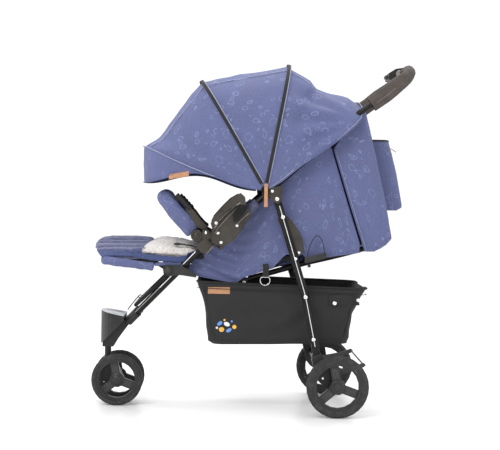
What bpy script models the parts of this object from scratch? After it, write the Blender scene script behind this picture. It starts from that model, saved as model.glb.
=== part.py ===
"""Lightweight stroller with twin front caster wheels, a folding handle and a reclining seat.

Metres, +Z up. The stroller faces -X and is symmetric about Y = 0. The origin is on the floor under
the middle of its length. Side -1 is the left side, side +1 the right side.
"""

import math

import bmesh
import bpy
from mathutils import Matrix, Vector

for old in list(bpy.data.objects):
    bpy.data.objects.remove(old)

SIDES = {"left": -1, "right": 1}
GAP = 0.0003  # between pieces that touch

# Wheels
REAR_WHEEL_RADIUS = 0.089
REAR_WHEEL_WIDTH = 0.030
REAR_TYRE_HEIGHT = 0.019
REAR_BAND = 0.008
REAR_HUB_RADIUS = 0.020
FRONT_WHEEL_RADIUS = 0.076
FRONT_WHEEL_WIDTH = 0.028
FRONT_TYRE_HEIGHT = 0.0145
FRONT_BAND = 0.0065
FRONT_HUB_RADIUS = 0.0195
SPOKE_WIDTH = 0.025
SPOKE_ANGLES = (100, 220, 340)
WHEEL_SEGMENTS = 30
AXLE_RADIUS = 0.005
AXLE_IN_HUB = 0.0085  # how far an axle reaches past the middle of its wheel
REAR_HUB_X = 0.249
REAR_TRACK = 0.480
BRACKET_TO_WHEEL = 0.026  # from the bracket's outer face to the middle of its wheel
BRACKET_THICKNESS = 0.028
BRACKET_OUTER = REAR_TRACK / 2 - BRACKET_TO_WHEEL
BRACKET_INNER = BRACKET_OUTER - BRACKET_THICKNESS
FRONT_HUB_X = -0.394
FRONT_TRACK = 0.105

# Caster and front housing
CASTER_X = -0.426
STEM_RADIUS = 0.010
STEM_TOP = 0.194
FORK_HALF_WIDTH = 0.026
HOUSING_HALF_WIDTH = 0.034
HOUSING_FLOOR = 0.172
SOCKET_RADIUS = 0.0135
SOCKET_LENGTH = 0.045
TUBE_IN_SOCKET = 0.030

# Front tubes: x, distance from the middle plane, z
TUBE_RADIUS = 0.009
TUBE_LOW = Vector((-0.335, 0.060, 0.279))
TUBE_HIGH = Vector((-0.138, 0.190, 0.486))
TUBE_PAST_SOCKET = 0.026
SLOPE = Vector((TUBE_HIGH.x - TUBE_LOW.x, TUBE_HIGH.z - TUBE_LOW.z)).normalized()

# Footrest
FOOTREST_BACK_X = -0.3750
FOOTREST_DEPTH = 0.0725
FOOTREST_HALF_WIDTH = 0.078
FOOTREST_WALL = 0.004
FOOTREST_TOP_FRONT = 0.281
FOOTREST_TOP_BACK = 0.267

# Joint axes, as x and z
FOLD_AXIS = (-0.096, 0.505)
LEG_AXIS = (0.066, 0.623)
CANOPY_AXIS = (0.032, 0.648)
RAIL_AXIS = (-0.170, 0.4524)
RAIL_END = (0.123, 0.4524)
BACKREST_AXIS = (-0.023, 0.385)
LEG_REST_AXIS = (-0.243, 0.411)
BUMPER_AXIS = (-0.162, 0.514)
BRAKE_AXIS = (0.232, 0.118)
PIN_RADIUS = 0.005
PIN_CLEARANCE = 0.0003

# Layers of the frame, as distances from the middle plane
SOCKET_INNER = 0.174
SOCKET_OUTER = 0.2085
FOLD_BLOCK_INNER = 0.184
FOLD_BLOCK_OUTER = 0.2095
HANDLE_Y = 0.219
CHEEK_INNER = 0.2283
CHEEK_OUTER = 0.2403
ARMREST_OUTER = 0.252
LEG_TOP_Y = 0.2403
LEG_THICKNESS = 0.014
LEG_WIDTH = 0.022
CLEVIS_PLATE = 0.003
CLEVIS_OUTER_PLATE = 0.004
CLEVIS_PLAY = 0.002  # between the rear leg and the outer plate
CLEVIS_OUTER = LEG_TOP_Y + LEG_THICKNESS / 2 + CLEVIS_PLAY + CLEVIS_OUTER_PLATE
LEG_FOOT = Vector((0.190, BRACKET_OUTER - LEG_THICKNESS, 0.178))
LEG_KNEE_Z = 0.343
LEG_KNEE_X = 0.154

# Bumper, with its sockets and their release buttons
SOCKET_HALF_LENGTH = 0.021
SOCKET_HALF_HEIGHT = 0.017
BOSS_RADIUS = 0.0165
BOSS_SPLIT = 0.1952  # where the socket's boss meets the bumper's disc
BUTTON_RADIUS = 0.005
BUTTON_ALONG = -0.006
BUTTON_TOP = -0.0125
BUTTON_PROUD = 0.0025
BUMPER_Y = 0.1875
BUMPER_PATH = (
    (-0.162, BUMPER_Y, 0.514),
    (-0.196, BUMPER_Y, 0.550),
    (-0.228, 0.183, 0.586),
    (-0.247, 0.160, 0.609),
    (-0.256, 0.120, 0.620),
    (-0.258, 0.060, 0.622),
)
BUMPER_RADIUS = 0.010
COVER_HALF = 0.0245
COVER_THIN = 0.0155

# Handle
HANDLE_START = (-0.066, 0.545)
HANDLE_BEND = (0.304, 0.877)
GRIP_PATH = (
    (0.3325, 0.219, 0.8990),
    (0.3720, 0.219, 0.9265),
    (0.4040, 0.216, 0.9540),
    (0.4320, 0.198, 0.9760),
    (0.4490, 0.160, 0.9950),
    (0.4535, 0.110, 1.0060),
    (0.4535, 0.043, 1.0075),
)
GRIP_HALF_HEIGHT_LOW = 0.0235
GRIP_HALF_THICKNESS_LOW = 0.0145
GRIP_HALF_SIZE_TOP = 0.0165
MECHANISM_HALF_WIDTH = 0.0425
TRIGGER_HALF_WIDTH = 0.016
TRIGGER_FRONT = 0.396
TRIGGER_BACK = 0.418
TRIGGER_LOW = 0.9915
TRIGGER_HIGH = 1.0015
TRIGGER_TRAVEL = 0.004

# Canopy
CANOPY_WALL = 0.003
CANOPY_POWER = 3.0
CANOPY_ROOT = 0.012
CANOPY_COLUMNS = 18
BOW_RADIUS = 0.0023
BOW_FOOT_RADIUS = 0.009
BOW_FOOT_THICKNESS = 0.005
CANOPY_EASE = 0.0053  # from the outer bow's foot to the outside of the cloth
CANOPY_HALF_WIDTH = CHEEK_INNER + CLEVIS_PLATE + GAP * 3 + BOW_FOOT_THICKNESS * 2 + CANOPY_EASE
MIDDLE_BOW_ANGLE = 79.3
FRONT_BOW_ANGLE = 120.5
SEAM_ANGLE = 160.7
VISOR_ANGLE = 177.0
REAR_EDGE_ANGLE = 44.0
CANOPY_ROW_TURN = 12.0
CANOPY_REACH = ((REAR_EDGE_ANGLE, 0.384), (49.6, 0.374), (56.2, 0.356), (63.3, 0.347), (67.6, 0.361),
                (MIDDLE_BOW_ANGLE, 0.381), (FRONT_BOW_ANGLE, 0.3735), (150.0, 0.349), (154.5, 0.353),
                (SEAM_ANGLE, 0.380), (169.0, 0.369), (VISOR_ANGLE, 0.357))
SEAM_GAP = 0.05
ZIP_AT = (0.034, 0.662)

# Rear frame
AXLE_TUBE_RADIUS = 0.011
AXLE_TUBE_AT = (0.204, 0.142)
BRAKE_THICKNESS = 0.008
BRAKE_PIN_RADIUS = 0.004
BRAKE_ROD_RADIUS = 0.0025
BRAKE_TIP = (0.329, 0.146)

# Seat
RAIL_Y_FRONT = 0.1465
RAIL_Y_REAR = 0.174
RAIL_THICKNESS = 0.008
RAIL_HEIGHT = 0.018
HINGE_PLATE_HALF = 0.0025
BACKREST_TUBE_RADIUS = 0.008
BACKREST_Y = 0.1475
BACKREST_Y_WIDE = 0.165
BACKREST_SLOPE = math.radians(16.4)
BACKREST_PAD_AT = (0.213, 0.4532)
SEAT_BOARD_DROP = 0.0055
SEAT_BOARD_THICKNESS = 0.004
SEAT_BOARD_FRONT = -0.176
SEAT_BOARD_BACK = -0.012
FABRIC = 0.002
PAD_LIFT = 0.017
PAD_DROP = 0.011
LEG_REST_TUBE_RADIUS = 0.006
LEG_REST_Y = 0.146
LEG_REST_BRACKET = 0.012
BRACE_RADIUS = 0.006

# Back wall and pocket
BACK_LEVELS = (
    # height, front edge x, rear x
    (0.476, 0.3230, 0.355),
    (0.491, 0.3180, 0.384),
    (0.514, 0.3105, 0.404),
    (0.609, 0.2790, 0.386),
    (0.770, 0.2280, 0.3485),
    (0.820, 0.2650, 0.337),
    (0.880, 0.2950, 0.3215),
)
BACK_HALF_WIDTH = 0.2095
BACK_CORNER = 0.024
POCKET_HALF_WIDTH = 0.110
POCKET_LOW = 0.596
POCKET_BEND = 0.770
POCKET_TOP = 0.800
POCKET_FACE = 0.0012  # between the back wall and the pocket

# Basket
BASKET_WALL = 0.003
BASKET_CORNER = 0.035
BASKET_LEVELS = (
    # height at the front, height at the rear, front x, rear x, half width
    (0.197, 0.204, -0.112, 0.284, 0.162),
    (0.206, 0.222, -0.125, 0.292, 0.172),
    (0.300, 0.290, -0.142, 0.302, 0.186),
    (0.380, 0.366, -0.158, 0.336, 0.190),
)


def paint(name, colour, roughness, metallic=0.0):
    """A plain Principled material."""
    material = bpy.data.materials.new(name)
    material.use_nodes = True
    shader = material.node_tree.nodes["Principled BSDF"]
    shader.inputs["Base Color"].default_value = (*colour, 1.0)
    shader.inputs["Roughness"].default_value = roughness
    shader.inputs["Metallic"].default_value = metallic
    return material


def blue_cloth(name):
    return paint(name + "_cloth", (0.16, 0.20, 0.46), 0.9)


def black_cloth(name):
    return paint(name + "_cloth", (0.03, 0.03, 0.03), 0.9)


def black_plastic(name):
    return paint(name + "_plastic", (0.03, 0.028, 0.026), 0.5)


def black_metal(name):
    return paint(name + "_metal", (0.015, 0.015, 0.015), 0.25, 0.6)


def rubber(name):
    return paint(name + "_rubber", (0.04, 0.04, 0.04), 0.8)


def foam(name):
    return paint(name + "_foam", (0.11, 0.095, 0.085), 0.85)


def tan_leather(name):
    return paint(name + "_leather", (0.62, 0.38, 0.22), 0.6)


def solid(name, verts, faces, finish):
    """A closed mesh with its faces turned outwards, shaded smooth between soft edges."""
    mesh = bpy.data.meshes.new(name)
    mesh.from_pydata([tuple(v) for v in verts], [], faces)
    shaper = bmesh.new()
    shaper.from_mesh(mesh)
    bmesh.ops.recalc_face_normals(shaper, faces=shaper.faces)
    if shaper.calc_volume(signed=True) < 0:
        bmesh.ops.reverse_faces(shaper, faces=shaper.faces)
    shaper.to_mesh(mesh)
    shaper.free()
    mesh.shade_smooth()
    mesh.set_sharp_from_angle(angle=math.radians(35))
    mesh.materials.append(finish(name))
    piece = bpy.data.objects.new(name, mesh)
    bpy.context.collection.objects.link(piece)
    return piece


def helper(name, verts, faces):
    """A shape that only cuts or joins another one."""
    piece = solid(name, verts, faces, black_plastic)
    piece.hide_render = True
    piece.display_type = "WIRE"
    return piece


def boolean(target, operand, operation):
    modifier = target.modifiers.new(operation.lower(), "BOOLEAN")
    modifier.operation = operation
    modifier.solver = "EXACT"
    modifier.object = operand


def add(target, shape, name):
    boolean(target, helper(target.name + "_" + name, *shape), "UNION")


def cut(target, shape, name):
    boolean(target, helper(target.name + "_" + name, *shape), "DIFFERENCE")


def soften(piece, width):
    modifier = piece.modifiers.new("edges", "BEVEL")
    modifier.width = width
    modifier.segments = 1
    modifier.limit_method = "ANGLE"
    modifier.angle_limit = math.radians(50)


def prism(outline, y_near, y_far):
    """An outline of x and z points, drawn out from one y to another."""
    count = len(outline)
    verts = [(x, y_near, z) for x, z in outline] + [(x, y_far, z) for x, z in outline]
    faces = [tuple(range(count)), tuple(range(2 * count - 1, count - 1, -1))]
    for i in range(count):
        j = (i + 1) % count
        faces.append((i, j, j + count, i + count))
    return verts, faces


def block(low, high):
    outline = [(low[0], low[2]), (high[0], low[2]), (high[0], high[2]), (low[0], high[2])]
    return prism(outline, low[1], high[1])


def circle(centre, radius, count, start=0.0):
    turn = 2 * math.pi / count
    return [
        (centre[0] + radius * math.cos(start + i * turn), centre[1] + radius * math.sin(start + i * turn))
        for i in range(count)
    ]


def pin(centre, radius, y_near, y_far, count=12):
    """A round bar along Y."""
    return prism(circle(centre, radius, count), y_near, y_far)


def arc(centre, radius, first, last, count):
    """Points on an arc between two angles in degrees."""
    points = []
    for i in range(count + 1):
        angle = math.radians(first + (last - first) * i / count)
        points.append((centre[0] + radius * math.cos(angle), centre[1] + radius * math.sin(angle)))
    return points


def turned(centre, profile, segments):
    """A profile of radius and y points turned round a line along Y through the centre.

    A profile whose ends lie on the axis gives a closed body, any other one is joined end to end.
    """
    verts = []
    rings = []
    for radius, y in profile:
        if radius == 0:
            rings.append([len(verts)])
            verts.append((centre[0], centre[1] + y, centre[2]))
            continue
        rings.append(list(range(len(verts), len(verts) + segments)))
        for i in range(segments):
            angle = (i + 0.5) * 2 * math.pi / segments - math.pi / 2
            x = centre[0] + radius * math.cos(angle)
            z = centre[2] + radius * math.sin(angle)
            verts.append((x, centre[1] + y, z))
    pairs = list(zip(rings, rings[1:]))
    if profile[0][0] > 0:
        pairs.append((rings[-1], rings[0]))
    faces = []
    for first, second in pairs:
        for i in range(segments):
            j = (i + 1) % segments
            if len(first) == 1:
                faces.append((first[0], second[i], second[j]))
            elif len(second) == 1:
                faces.append((first[i], second[0], first[j]))
            else:
                faces.append((first[i], second[i], second[j], first[j]))
    return verts, faces


def smooth_path(points, steps):
    """A Catmull-Rom curve through the points."""
    points = [Vector(p) for p in points]
    ends = [2 * points[0] - points[1]] + points + [2 * points[-1] - points[-2]]
    path = []
    for a, b, c, d in zip(ends, ends[1:], ends[2:], ends[3:]):
        for i in range(steps):
            t = i / steps
            bend = 2 * a - 5 * b + 4 * c - d
            twist = 3 * b - a - 3 * c + d
            path.append(0.5 * (2 * b + (c - a) * t + bend * t**2 + twist * t**3))
    path.append(points[-1])
    return path


def rounded_path(points, radius, steps=4):
    """Straight runs joined by arcs of the radius."""
    points = [Vector(p) for p in points]
    path = [points[0]]
    for before, corner, after in zip(points, points[1:], points[2:]):
        inward = (before - corner).normalized()
        onward = (after - corner).normalized()
        half = inward.angle(onward) / 2
        reach = radius / math.tan(half)
        centre = corner + (inward + onward).normalized() * radius / math.sin(half)
        start = (corner + inward * reach - centre).normalized()
        end = (corner + onward * reach - centre).normalized()
        path += [centre + start.slerp(end, i / steps) * radius for i in range(steps + 1)]
    path.append(points[-1])
    return path


def frames(path, up):
    """At each point, the two directions across the path, kept from twisting."""
    result = []
    side = None
    for i, point in enumerate(path):
        ahead = (path[min(i + 1, len(path) - 1)] - path[max(i - 1, 0)]).normalized()
        side = (Vector(up).cross(ahead) if side is None else side - ahead * side.dot(ahead)).normalized()
        result.append((point, side, ahead.cross(side)))
    return result


def section(half_side, half_over, count, power=2.0):
    """A round or square-round outline, as parts of the two directions across a path."""
    outline = []
    for i in range(count):
        angle = 2 * math.pi * (i + 0.5) / count
        c, s = math.cos(angle), math.sin(angle)
        outline.append(
            (
                half_side * math.copysign(abs(c) ** (2 / power), c),
                half_over * math.copysign(abs(s) ** (2 / power), s),
            )
        )
    return outline


def swept(path, outlines, up=(0, 1, 0), bore=None):
    """A bar along a path. With a bore it is a pipe whose inside follows the same path."""
    count = len(outlines[0])
    verts = []
    for (point, side, over), outline in zip(frames(path, up), outlines):
        verts += [point + side * a + over * b for a, b in outline]
    faces = []
    last = len(path) - 1
    for ring in range(last):
        for i in range(count):
            j = (i + 1) % count
            a, b = ring * count, (ring + 1) * count
            faces.append((a + i, a + j, b + j, b + i))
    if bore is None:
        faces += [tuple(range(count)), tuple(range(last * count, (last + 1) * count))]
        return verts, faces
    shift = len(verts)
    inner = section(bore, bore, count)
    for point, side, over in frames(path, up):
        verts += [point + side * a + over * b for a, b in inner]
    faces += [tuple(shift + v for v in face) for face in faces]
    for start in (0, last * count):
        for i in range(count):
            j = (i + 1) % count
            faces.append((start + i, start + j, shift + start + j, shift + start + i))
    return verts, faces


def tube(path, radius, count=10, up=(0, 1, 0)):
    return swept([Vector(p) for p in path], [section(radius, radius, count)] * len(path), up)


def upright_bar(x, y, low, high, radius, count=12):
    return tube([(x, y, low), (x, y, high)], radius, count)


def cushion(centre, half_length, half_width, lift, drop, cells, tilt=0.0, channels=0, groove=0.0):
    """A crowned pad whose sides draw in between its corners, with sewn channels along its length."""
    along, across = cells
    verts = []
    index = {}
    for layer, height in ((0, lift), (1, -drop)):
        for i in range(along + 1):
            for j in range(across + 1):
                u = 2 * i / along - 1
                v = 2 * j / across - 1
                edge = i in (0, along) or j in (0, across)
                if layer and edge:
                    index[layer, i, j] = index[0, i, j]
                    continue
                x = half_length * u * (1 - 0.03 * (1 - v * v))
                y = half_width * v * (1 - 0.03 * (1 - u * u))
                crown = ((1 - u**6) * (1 - v**4)) ** 0.5
                if channels and layer == 0:
                    crown *= 1 - groove * (math.cos(math.pi * channels * v) ** 8)
                index[layer, i, j] = len(verts)
                verts.append(Vector((x, y, height * crown)))
    turn = Matrix.Rotation(-tilt, 3, "Y")
    verts = [Vector(centre) + turn @ v for v in verts]
    faces = []
    for layer in (0, 1):
        for i in range(along):
            for j in range(across):
                corners = ((i, j), (i + 1, j), (i + 1, j + 1), (i, j + 1))
                faces.append(tuple(index[layer, a, b] for a, b in corners))
    return verts, faces


CARRIER_AT = {}


def carrier(name, at, parent=None):
    """An empty on a joint's axis, which carries the pieces that turn there."""
    spot = bpy.data.objects.new(name, None)
    bpy.context.collection.objects.link(spot)
    CARRIER_AT[name] = Vector(at)
    spot.location = Vector(at) - (CARRIER_AT[parent] if parent else Vector())
    if parent:
        spot.parent = bpy.data.objects[parent]
    return spot


def hang(piece, name):
    """Puts a piece modelled in place on a carrier, with its origin on the joint's axis."""
    piece.data.transform(Matrix.Translation(-CARRIER_AT[name]))
    piece.parent = bpy.data.objects[name]


def on_side(side, a, b):
    """Two distances from the middle plane as y values, lowest first."""
    return sorted((side * a, side * b))


carrier("chassis", (0, 0, 0))
carrier("caster_turn", (CASTER_X, 0, STEM_TOP), "chassis")
carrier("fold_turn", (FOLD_AXIS[0], 0, FOLD_AXIS[1]), "chassis")
carrier("leg_turn", (LEG_AXIS[0], 0, LEG_AXIS[1]), "fold_turn")
carrier("middle_bow_turn", (CANOPY_AXIS[0], 0, CANOPY_AXIS[1]), "fold_turn")
carrier("front_bow_turn", (CANOPY_AXIS[0], 0, CANOPY_AXIS[1]), "middle_bow_turn")
carrier("rail_turn", (RAIL_AXIS[0], 0, RAIL_AXIS[1]), "chassis")
carrier("backrest_turn", (BACKREST_AXIS[0], 0, BACKREST_AXIS[1]), "rail_turn")
carrier("leg_rest_turn", (LEG_REST_AXIS[0], 0, LEG_REST_AXIS[1]), "chassis")
carrier("bumper_turn", (BUMPER_AXIS[0], 0, BUMPER_AXIS[1]), "chassis")
carrier("brake_turn", (BRAKE_AXIS[0], 0, BRAKE_AXIS[1]), "leg_turn")


def wheel(which, side_name, side, hub, radius, width, tyre_height, band, hub_radius, parent):
    """A rim with three broad spokes and a blind hub, and its tyre."""
    name = which + "_wheel_turn_" + side_name
    carrier(name, hub, parent)
    half = width / 2
    seat = radius - tyre_height
    contact = radius / math.cos(math.pi / WHEEL_SEGMENTS)
    tyre_profile = [
        (seat, -half + 0.002),
        (contact - 0.006, -half),
        (contact, -half * 0.55),
        (contact, half * 0.55),
        (contact - 0.006, half),
        (seat, half - 0.002),
    ]
    tyre = solid(which + "_tyre_" + side_name, *turned(hub, tyre_profile, WHEEL_SEGMENTS), rubber)
    hang(tyre, name)
    outer = seat - GAP
    inner = outer - band
    bore = AXLE_RADIUS + PIN_CLEARANCE
    rim_profile = [
        (0, side * (half - 0.0005)),
        (hub_radius * 0.6, side * (half - 0.001)),
        (hub_radius, side * (half - 0.005)),
        (hub_radius, side * 0.006),
        (inner, side * 0.006),
        (inner, side * (half - 0.003)),
        (outer, side * (half - 0.003)),
        (outer, -side * (half - 0.003)),
        (inner, -side * (half - 0.003)),
        (inner, -side * 0.006),
        (hub_radius, -side * 0.006),
        (hub_radius, -side * 0.012),
        (bore, -side * 0.012),
        (bore, side * (AXLE_IN_HUB + 0.0005)),
        (0, side * (AXLE_IN_HUB + 0.0005)),
    ]
    rim = solid(which + "_rim_" + side_name, *turned(hub, rim_profile, WHEEL_SEGMENTS), black_plastic)
    at = (hub[0], hub[2])
    near = hub_radius + 0.003
    far = inner - 0.001
    lean_near = math.degrees(math.asin(SPOKE_WIDTH / 2 / near))
    lean_far = math.degrees(math.asin(SPOKE_WIDTH / 2 / far))
    for number, spoke in enumerate(SPOKE_ANGLES):
        window = arc(at, far, spoke + lean_far, spoke + 120 - lean_far, 5)
        window += arc(at, near, spoke + 120 - lean_near, spoke + lean_near, 2)
        cut(rim, prism(window, hub[1] - half, hub[1] + half), "window_%d" % number)
    hang(rim, name)


def caster():
    """The swivelling fork, its axle and the twin front wheels."""
    hub = (FRONT_HUB_X, FRONT_WHEEL_RADIUS)
    outline = [
        (-0.440, 0.1395),
        (-0.444, 0.105),
        (-0.444, 0.068),
        (-0.410, 0.060),
        (-0.386, 0.060),
        (-0.378, 0.076),
        (-0.386, 0.095),
        (-0.410, 0.1395),
    ]
    fork = solid("caster_fork", *prism(outline, -FORK_HALF_WIDTH, FORK_HALF_WIDTH), black_plastic)
    add(fork, upright_bar(CASTER_X, 0, 0.130, STEM_TOP, STEM_RADIUS), "stem")
    cut(fork, pin(hub, AXLE_RADIUS + PIN_CLEARANCE, -0.05, 0.05), "bore")
    hang(fork, "caster_turn")
    reach = FRONT_TRACK / 2 + AXLE_IN_HUB
    axle = solid("front_axle", *pin(hub, AXLE_RADIUS, -reach, reach), black_metal)
    hang(axle, "caster_turn")
    for side_name, side in SIDES.items():
        at = (hub[0], side * FRONT_TRACK / 2, hub[1])
        wheel(
            "front", side_name, side, at, FRONT_WHEEL_RADIUS, FRONT_WHEEL_WIDTH, FRONT_TYRE_HEIGHT,
            FRONT_BAND, FRONT_HUB_RADIUS, "caster_turn",
        )


def tube_line(side):
    """Low end, high end and direction of a front tube on one side."""
    low = Vector((TUBE_LOW.x, side * TUBE_LOW.y, TUBE_LOW.z))
    high = Vector((TUBE_HIGH.x, side * TUBE_HIGH.y, TUBE_HIGH.z))
    return low, high, (high - low).normalized()


def by_tube(along, above):
    """A point seen from the side, measured along and above the front tube from its high point."""
    return (
        TUBE_HIGH.x + along * SLOPE.x - above * SLOPE.y,
        TUBE_HIGH.z + along * SLOPE.y + above * SLOPE.x,
    )


def front_tube(side_name, side):
    low, high, way = tube_line(side)
    side_share = Vector((way.x, way.z)).length
    path = [low - way * TUBE_IN_SOCKET, high + way * (TUBE_PAST_SOCKET / side_share)]
    piece = solid("front_tube_" + side_name, *tube(path, TUBE_RADIUS, 12), black_metal)
    hang(piece, "chassis")


def front_housing():
    """The Y-shaped casting that takes both front tubes and the caster's stem."""
    outline = [
        (-0.3428, 0.2866),
        (-0.332, 0.268),
        (-0.364, 0.2375),
        (-0.394, 0.196),
        (-0.408, HOUSING_FLOOR),
        (-0.4405, HOUSING_FLOOR),
        (-0.4405, 0.1857),
    ]
    body = solid("front_housing", *prism(outline, -HOUSING_HALF_WIDTH, HOUSING_HALF_WIDTH), black_plastic)
    for side_name, side in SIDES.items():
        low, high, way = tube_line(side)
        add(body, tube([low, low - way * SOCKET_LENGTH], SOCKET_RADIUS, 12), "socket_" + side_name)
    for side_name, side in SIDES.items():
        low, high, way = tube_line(side)
        end = low - way * (TUBE_IN_SOCKET + 0.001)
        cut(body, tube([low + way * 0.02, end], TUBE_RADIUS + PIN_CLEARANCE, 12), "bore_" + side_name)
    bore = upright_bar(CASTER_X, 0, HOUSING_FLOOR - 0.01, STEM_TOP + 0.001, STEM_RADIUS + PIN_CLEARANCE)
    cut(body, bore, "stem_bore")
    hang(body, "chassis")


def footrest():
    """A rounded tread with an apron, open below, which sits on the front housing."""
    slope = (0.2866 - 0.1857) / (-0.3428 + 0.4405)

    def rest_z(x):
        return 0.2866 + (x + 0.3428) * slope + GAP * 1.5

    def top_z(x):
        part = (x - FOOTREST_BACK_X + FOOTREST_DEPTH) / FOOTREST_DEPTH
        return FOOTREST_TOP_FRONT + (FOOTREST_TOP_BACK - FOOTREST_TOP_FRONT) * part

    def plan(inset):
        points = []
        for i in range(17):
            angle = math.pi * i / 16
            x = FOOTREST_BACK_X - inset - (FOOTREST_DEPTH - 2 * inset) * math.sin(angle) ** 0.7
            points.append((x, (FOOTREST_HALF_WIDTH - inset) * math.cos(angle)))
        return points

    outside = plan(0)
    inside = plan(FOOTREST_WALL)
    count = len(outside)
    verts = [(x, y, top_z(x)) for x, y in outside]
    verts += [(x, y, min(rest_z(x), top_z(x) - 0.006)) for x, y in outside]
    verts += [(x, y, min(rest_z(x), top_z(x) - 0.006)) for x, y in inside]
    verts += [(x, y, top_z(x) - FOOTREST_WALL) for x, y in inside]
    faces = [tuple(range(count)), tuple(range(3 * count, 4 * count))]
    for level in range(3):
        for i in range(count):
            j = (i + 1) % count
            a, b = level * count, (level + 1) * count
            faces.append((a + i, a + j, b + j, b + i))
    hang(solid("footrest", verts, faces, black_plastic), "chassis")


def footrest_brace():
    """The U-shaped bar that runs over the front tubes, between the leg rest and the footrest."""
    near = TUBE_RADIUS + BRACE_RADIUS + GAP
    corners = []
    for side in (-1, 1):
        low, high, way = tube_line(side)
        up = Vector((-SLOPE.y, 0, SLOPE.x))
        start = low + way * 0.155 + up * near
        end = low + way * 0.012 + up * (near + 0.004)
        corners += [start, end] if side < 0 else [end, start]
    bar = tube(rounded_path(corners, 0.02), BRACE_RADIUS, 8, (0, 0, 1))
    piece = solid("footrest_brace", *bar, black_metal)
    hang(piece, "chassis")


def fold_housing(side_name, side):
    """Clevis on the front tube that holds the handle's hinge pin, with the armrest on its cheek."""
    lens = [
        (-0.116, 0.496),
        (-0.1175, 0.528),
        (-0.078, 0.570),
        (-0.036, 0.612),
        (-0.0103, 0.588),
        (-0.0074, 0.576),
        (-0.036, 0.5265),
        (-0.058, 0.500),
        (-0.0755, 0.489),
        (-0.092, 0.486),
    ]
    cheek = prism(lens, *on_side(side, CHEEK_INNER, CHEEK_OUTER))
    piece = solid("fold_housing_" + side_name, *cheek, black_plastic)
    foot = [by_tube(*p) for p in ((0.0225, -0.041), (0.058, -0.041), (0.066, -0.0345), (0.0225, -0.0345))]
    add(piece, prism(foot, *on_side(side, FOLD_BLOCK_OUTER - 0.004, CHEEK_OUTER - 0.002)), "bridge")
    spots = ((0.0215, -0.040), (0.056, -0.040), (0.060, -0.010), (0.050, 0.014), (0.0215, 0.014))
    inner = [by_tube(*p) for p in spots]
    add(piece, prism(inner, *on_side(side, FOLD_BLOCK_INNER, FOLD_BLOCK_OUTER)), "inner_cheek")
    pin_range = on_side(side, FOLD_BLOCK_INNER + 0.003, CHEEK_OUTER - 0.003)
    add(piece, pin(FOLD_AXIS, PIN_RADIUS, *pin_range), "pin")
    armrest = [
        (-0.1150, 0.5300),
        (-0.1215, 0.5505),
        (-0.1130, 0.5690),
        (-0.0846, 0.6014),
        (-0.0617, 0.6243),
        (-0.0375, 0.6386),
        (-0.0246, 0.6270),
        (-0.0210, 0.6000),
        (-0.0389, 0.6060),
        (-0.0700, 0.5910),
        (-0.0961, 0.5610),
        (-0.1010, 0.5350),
    ]
    add(piece, prism(armrest, *on_side(side, CHEEK_INNER + 0.001, ARMREST_OUTER)), "armrest")
    low, high, way = tube_line(side)
    cut(piece, tube([high, high + way * 0.0305], TUBE_RADIUS + PIN_CLEARANCE, 12), "tube_bore")
    hang(piece, "chassis")


def bumper_socket(side_name, side):
    """The block clamped on the front tube that holds one end of the bumper bar."""
    length, height = SOCKET_HALF_LENGTH, SOCKET_HALF_HEIGHT
    corners = ((-length, -height), (length, -height), (length, height), (-length, height))
    clamp = prism([by_tube(*p) for p in corners], *on_side(side, SOCKET_INNER, SOCKET_OUTER))
    piece = solid("bumper_socket_" + side_name, *clamp, black_plastic)
    neck = [by_tube(*p) for p in ((-0.012, 0.012), (0.016, 0.012), (0.014, 0.034), (-0.006, 0.034))]
    add(piece, prism(neck, *on_side(side, BOSS_SPLIT, SOCKET_OUTER)), "neck")
    add(piece, pin(BUMPER_AXIS, BOSS_RADIUS, *on_side(side, BOSS_SPLIT, SOCKET_OUTER), 20), "boss")
    add(piece, pin(BUMPER_AXIS, PIN_RADIUS, *on_side(side, BOSS_SPLIT - 0.013, SOCKET_OUTER - 0.002)), "pin")
    low, high, way = tube_line(side)
    cut(piece, tube([high - way * 0.05, high + way * 0.05], TUBE_RADIUS + PIN_CLEARANCE, 12), "tube_bore")
    middle = side * (TUBE_HIGH.y + BUTTON_ALONG * TUBE_HIGH.y / 0.45)
    down = Vector((SLOPE.y, 0, -SLOPE.x))
    at = by_tube(BUTTON_ALONG, 0)
    axis = Vector((at[0], middle, at[1]))
    hole = [axis + down * 0.0102, axis + down * (SOCKET_HALF_HEIGHT + 0.003)]
    cut(piece, tube(hole, BUTTON_RADIUS + PIN_CLEARANCE, 10), "button_hole")
    hang(piece, "chassis")
    name = "bumper_button_" + side_name
    spot = axis + down * SOCKET_HALF_HEIGHT
    carrier(name + "_slide", spot, "chassis")
    path = [axis + down * -BUTTON_TOP, axis + down * (SOCKET_HALF_HEIGHT + BUTTON_PROUD)]
    button = solid(name, *tube(path, BUTTON_RADIUS, 10), black_plastic)
    hang(button, name + "_slide")


def leg_rest_joint(side_name, side):
    """The bracket on the front tube that carries one end of the leg rest."""
    outline = [
        (-0.258, 0.4175),
        (-0.2545, 0.4255),
        (-0.205, 0.4250),
        (-0.161, 0.4010),
        (-0.161, 0.3910),
        (-0.208, 0.3975),
        (-0.243, 0.3930),
        (-0.256, 0.4010),
    ]
    inner = LEG_REST_Y + LEG_REST_TUBE_RADIUS + 0.0023
    y_range = on_side(side, inner, inner + LEG_REST_BRACKET)
    piece = solid("leg_rest_joint_" + side_name, *prism(outline, *y_range), black_plastic)
    boss_range = on_side(side, inner + 0.003, inner + LEG_REST_BRACKET + 0.004)
    add(piece, pin(LEG_REST_AXIS, 0.012, *boss_range, 20), "boss")
    add(piece, pin(LEG_REST_AXIS, 0.0025, *on_side(side, LEG_REST_Y - 0.003, inner + 0.005), 8), "pin")
    low, high, way = tube_line(side)
    cut(piece, tube([low + way * 0.1, high], TUBE_RADIUS + PIN_CLEARANCE, 12), "tube_bore")
    hang(piece, "chassis")


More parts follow.
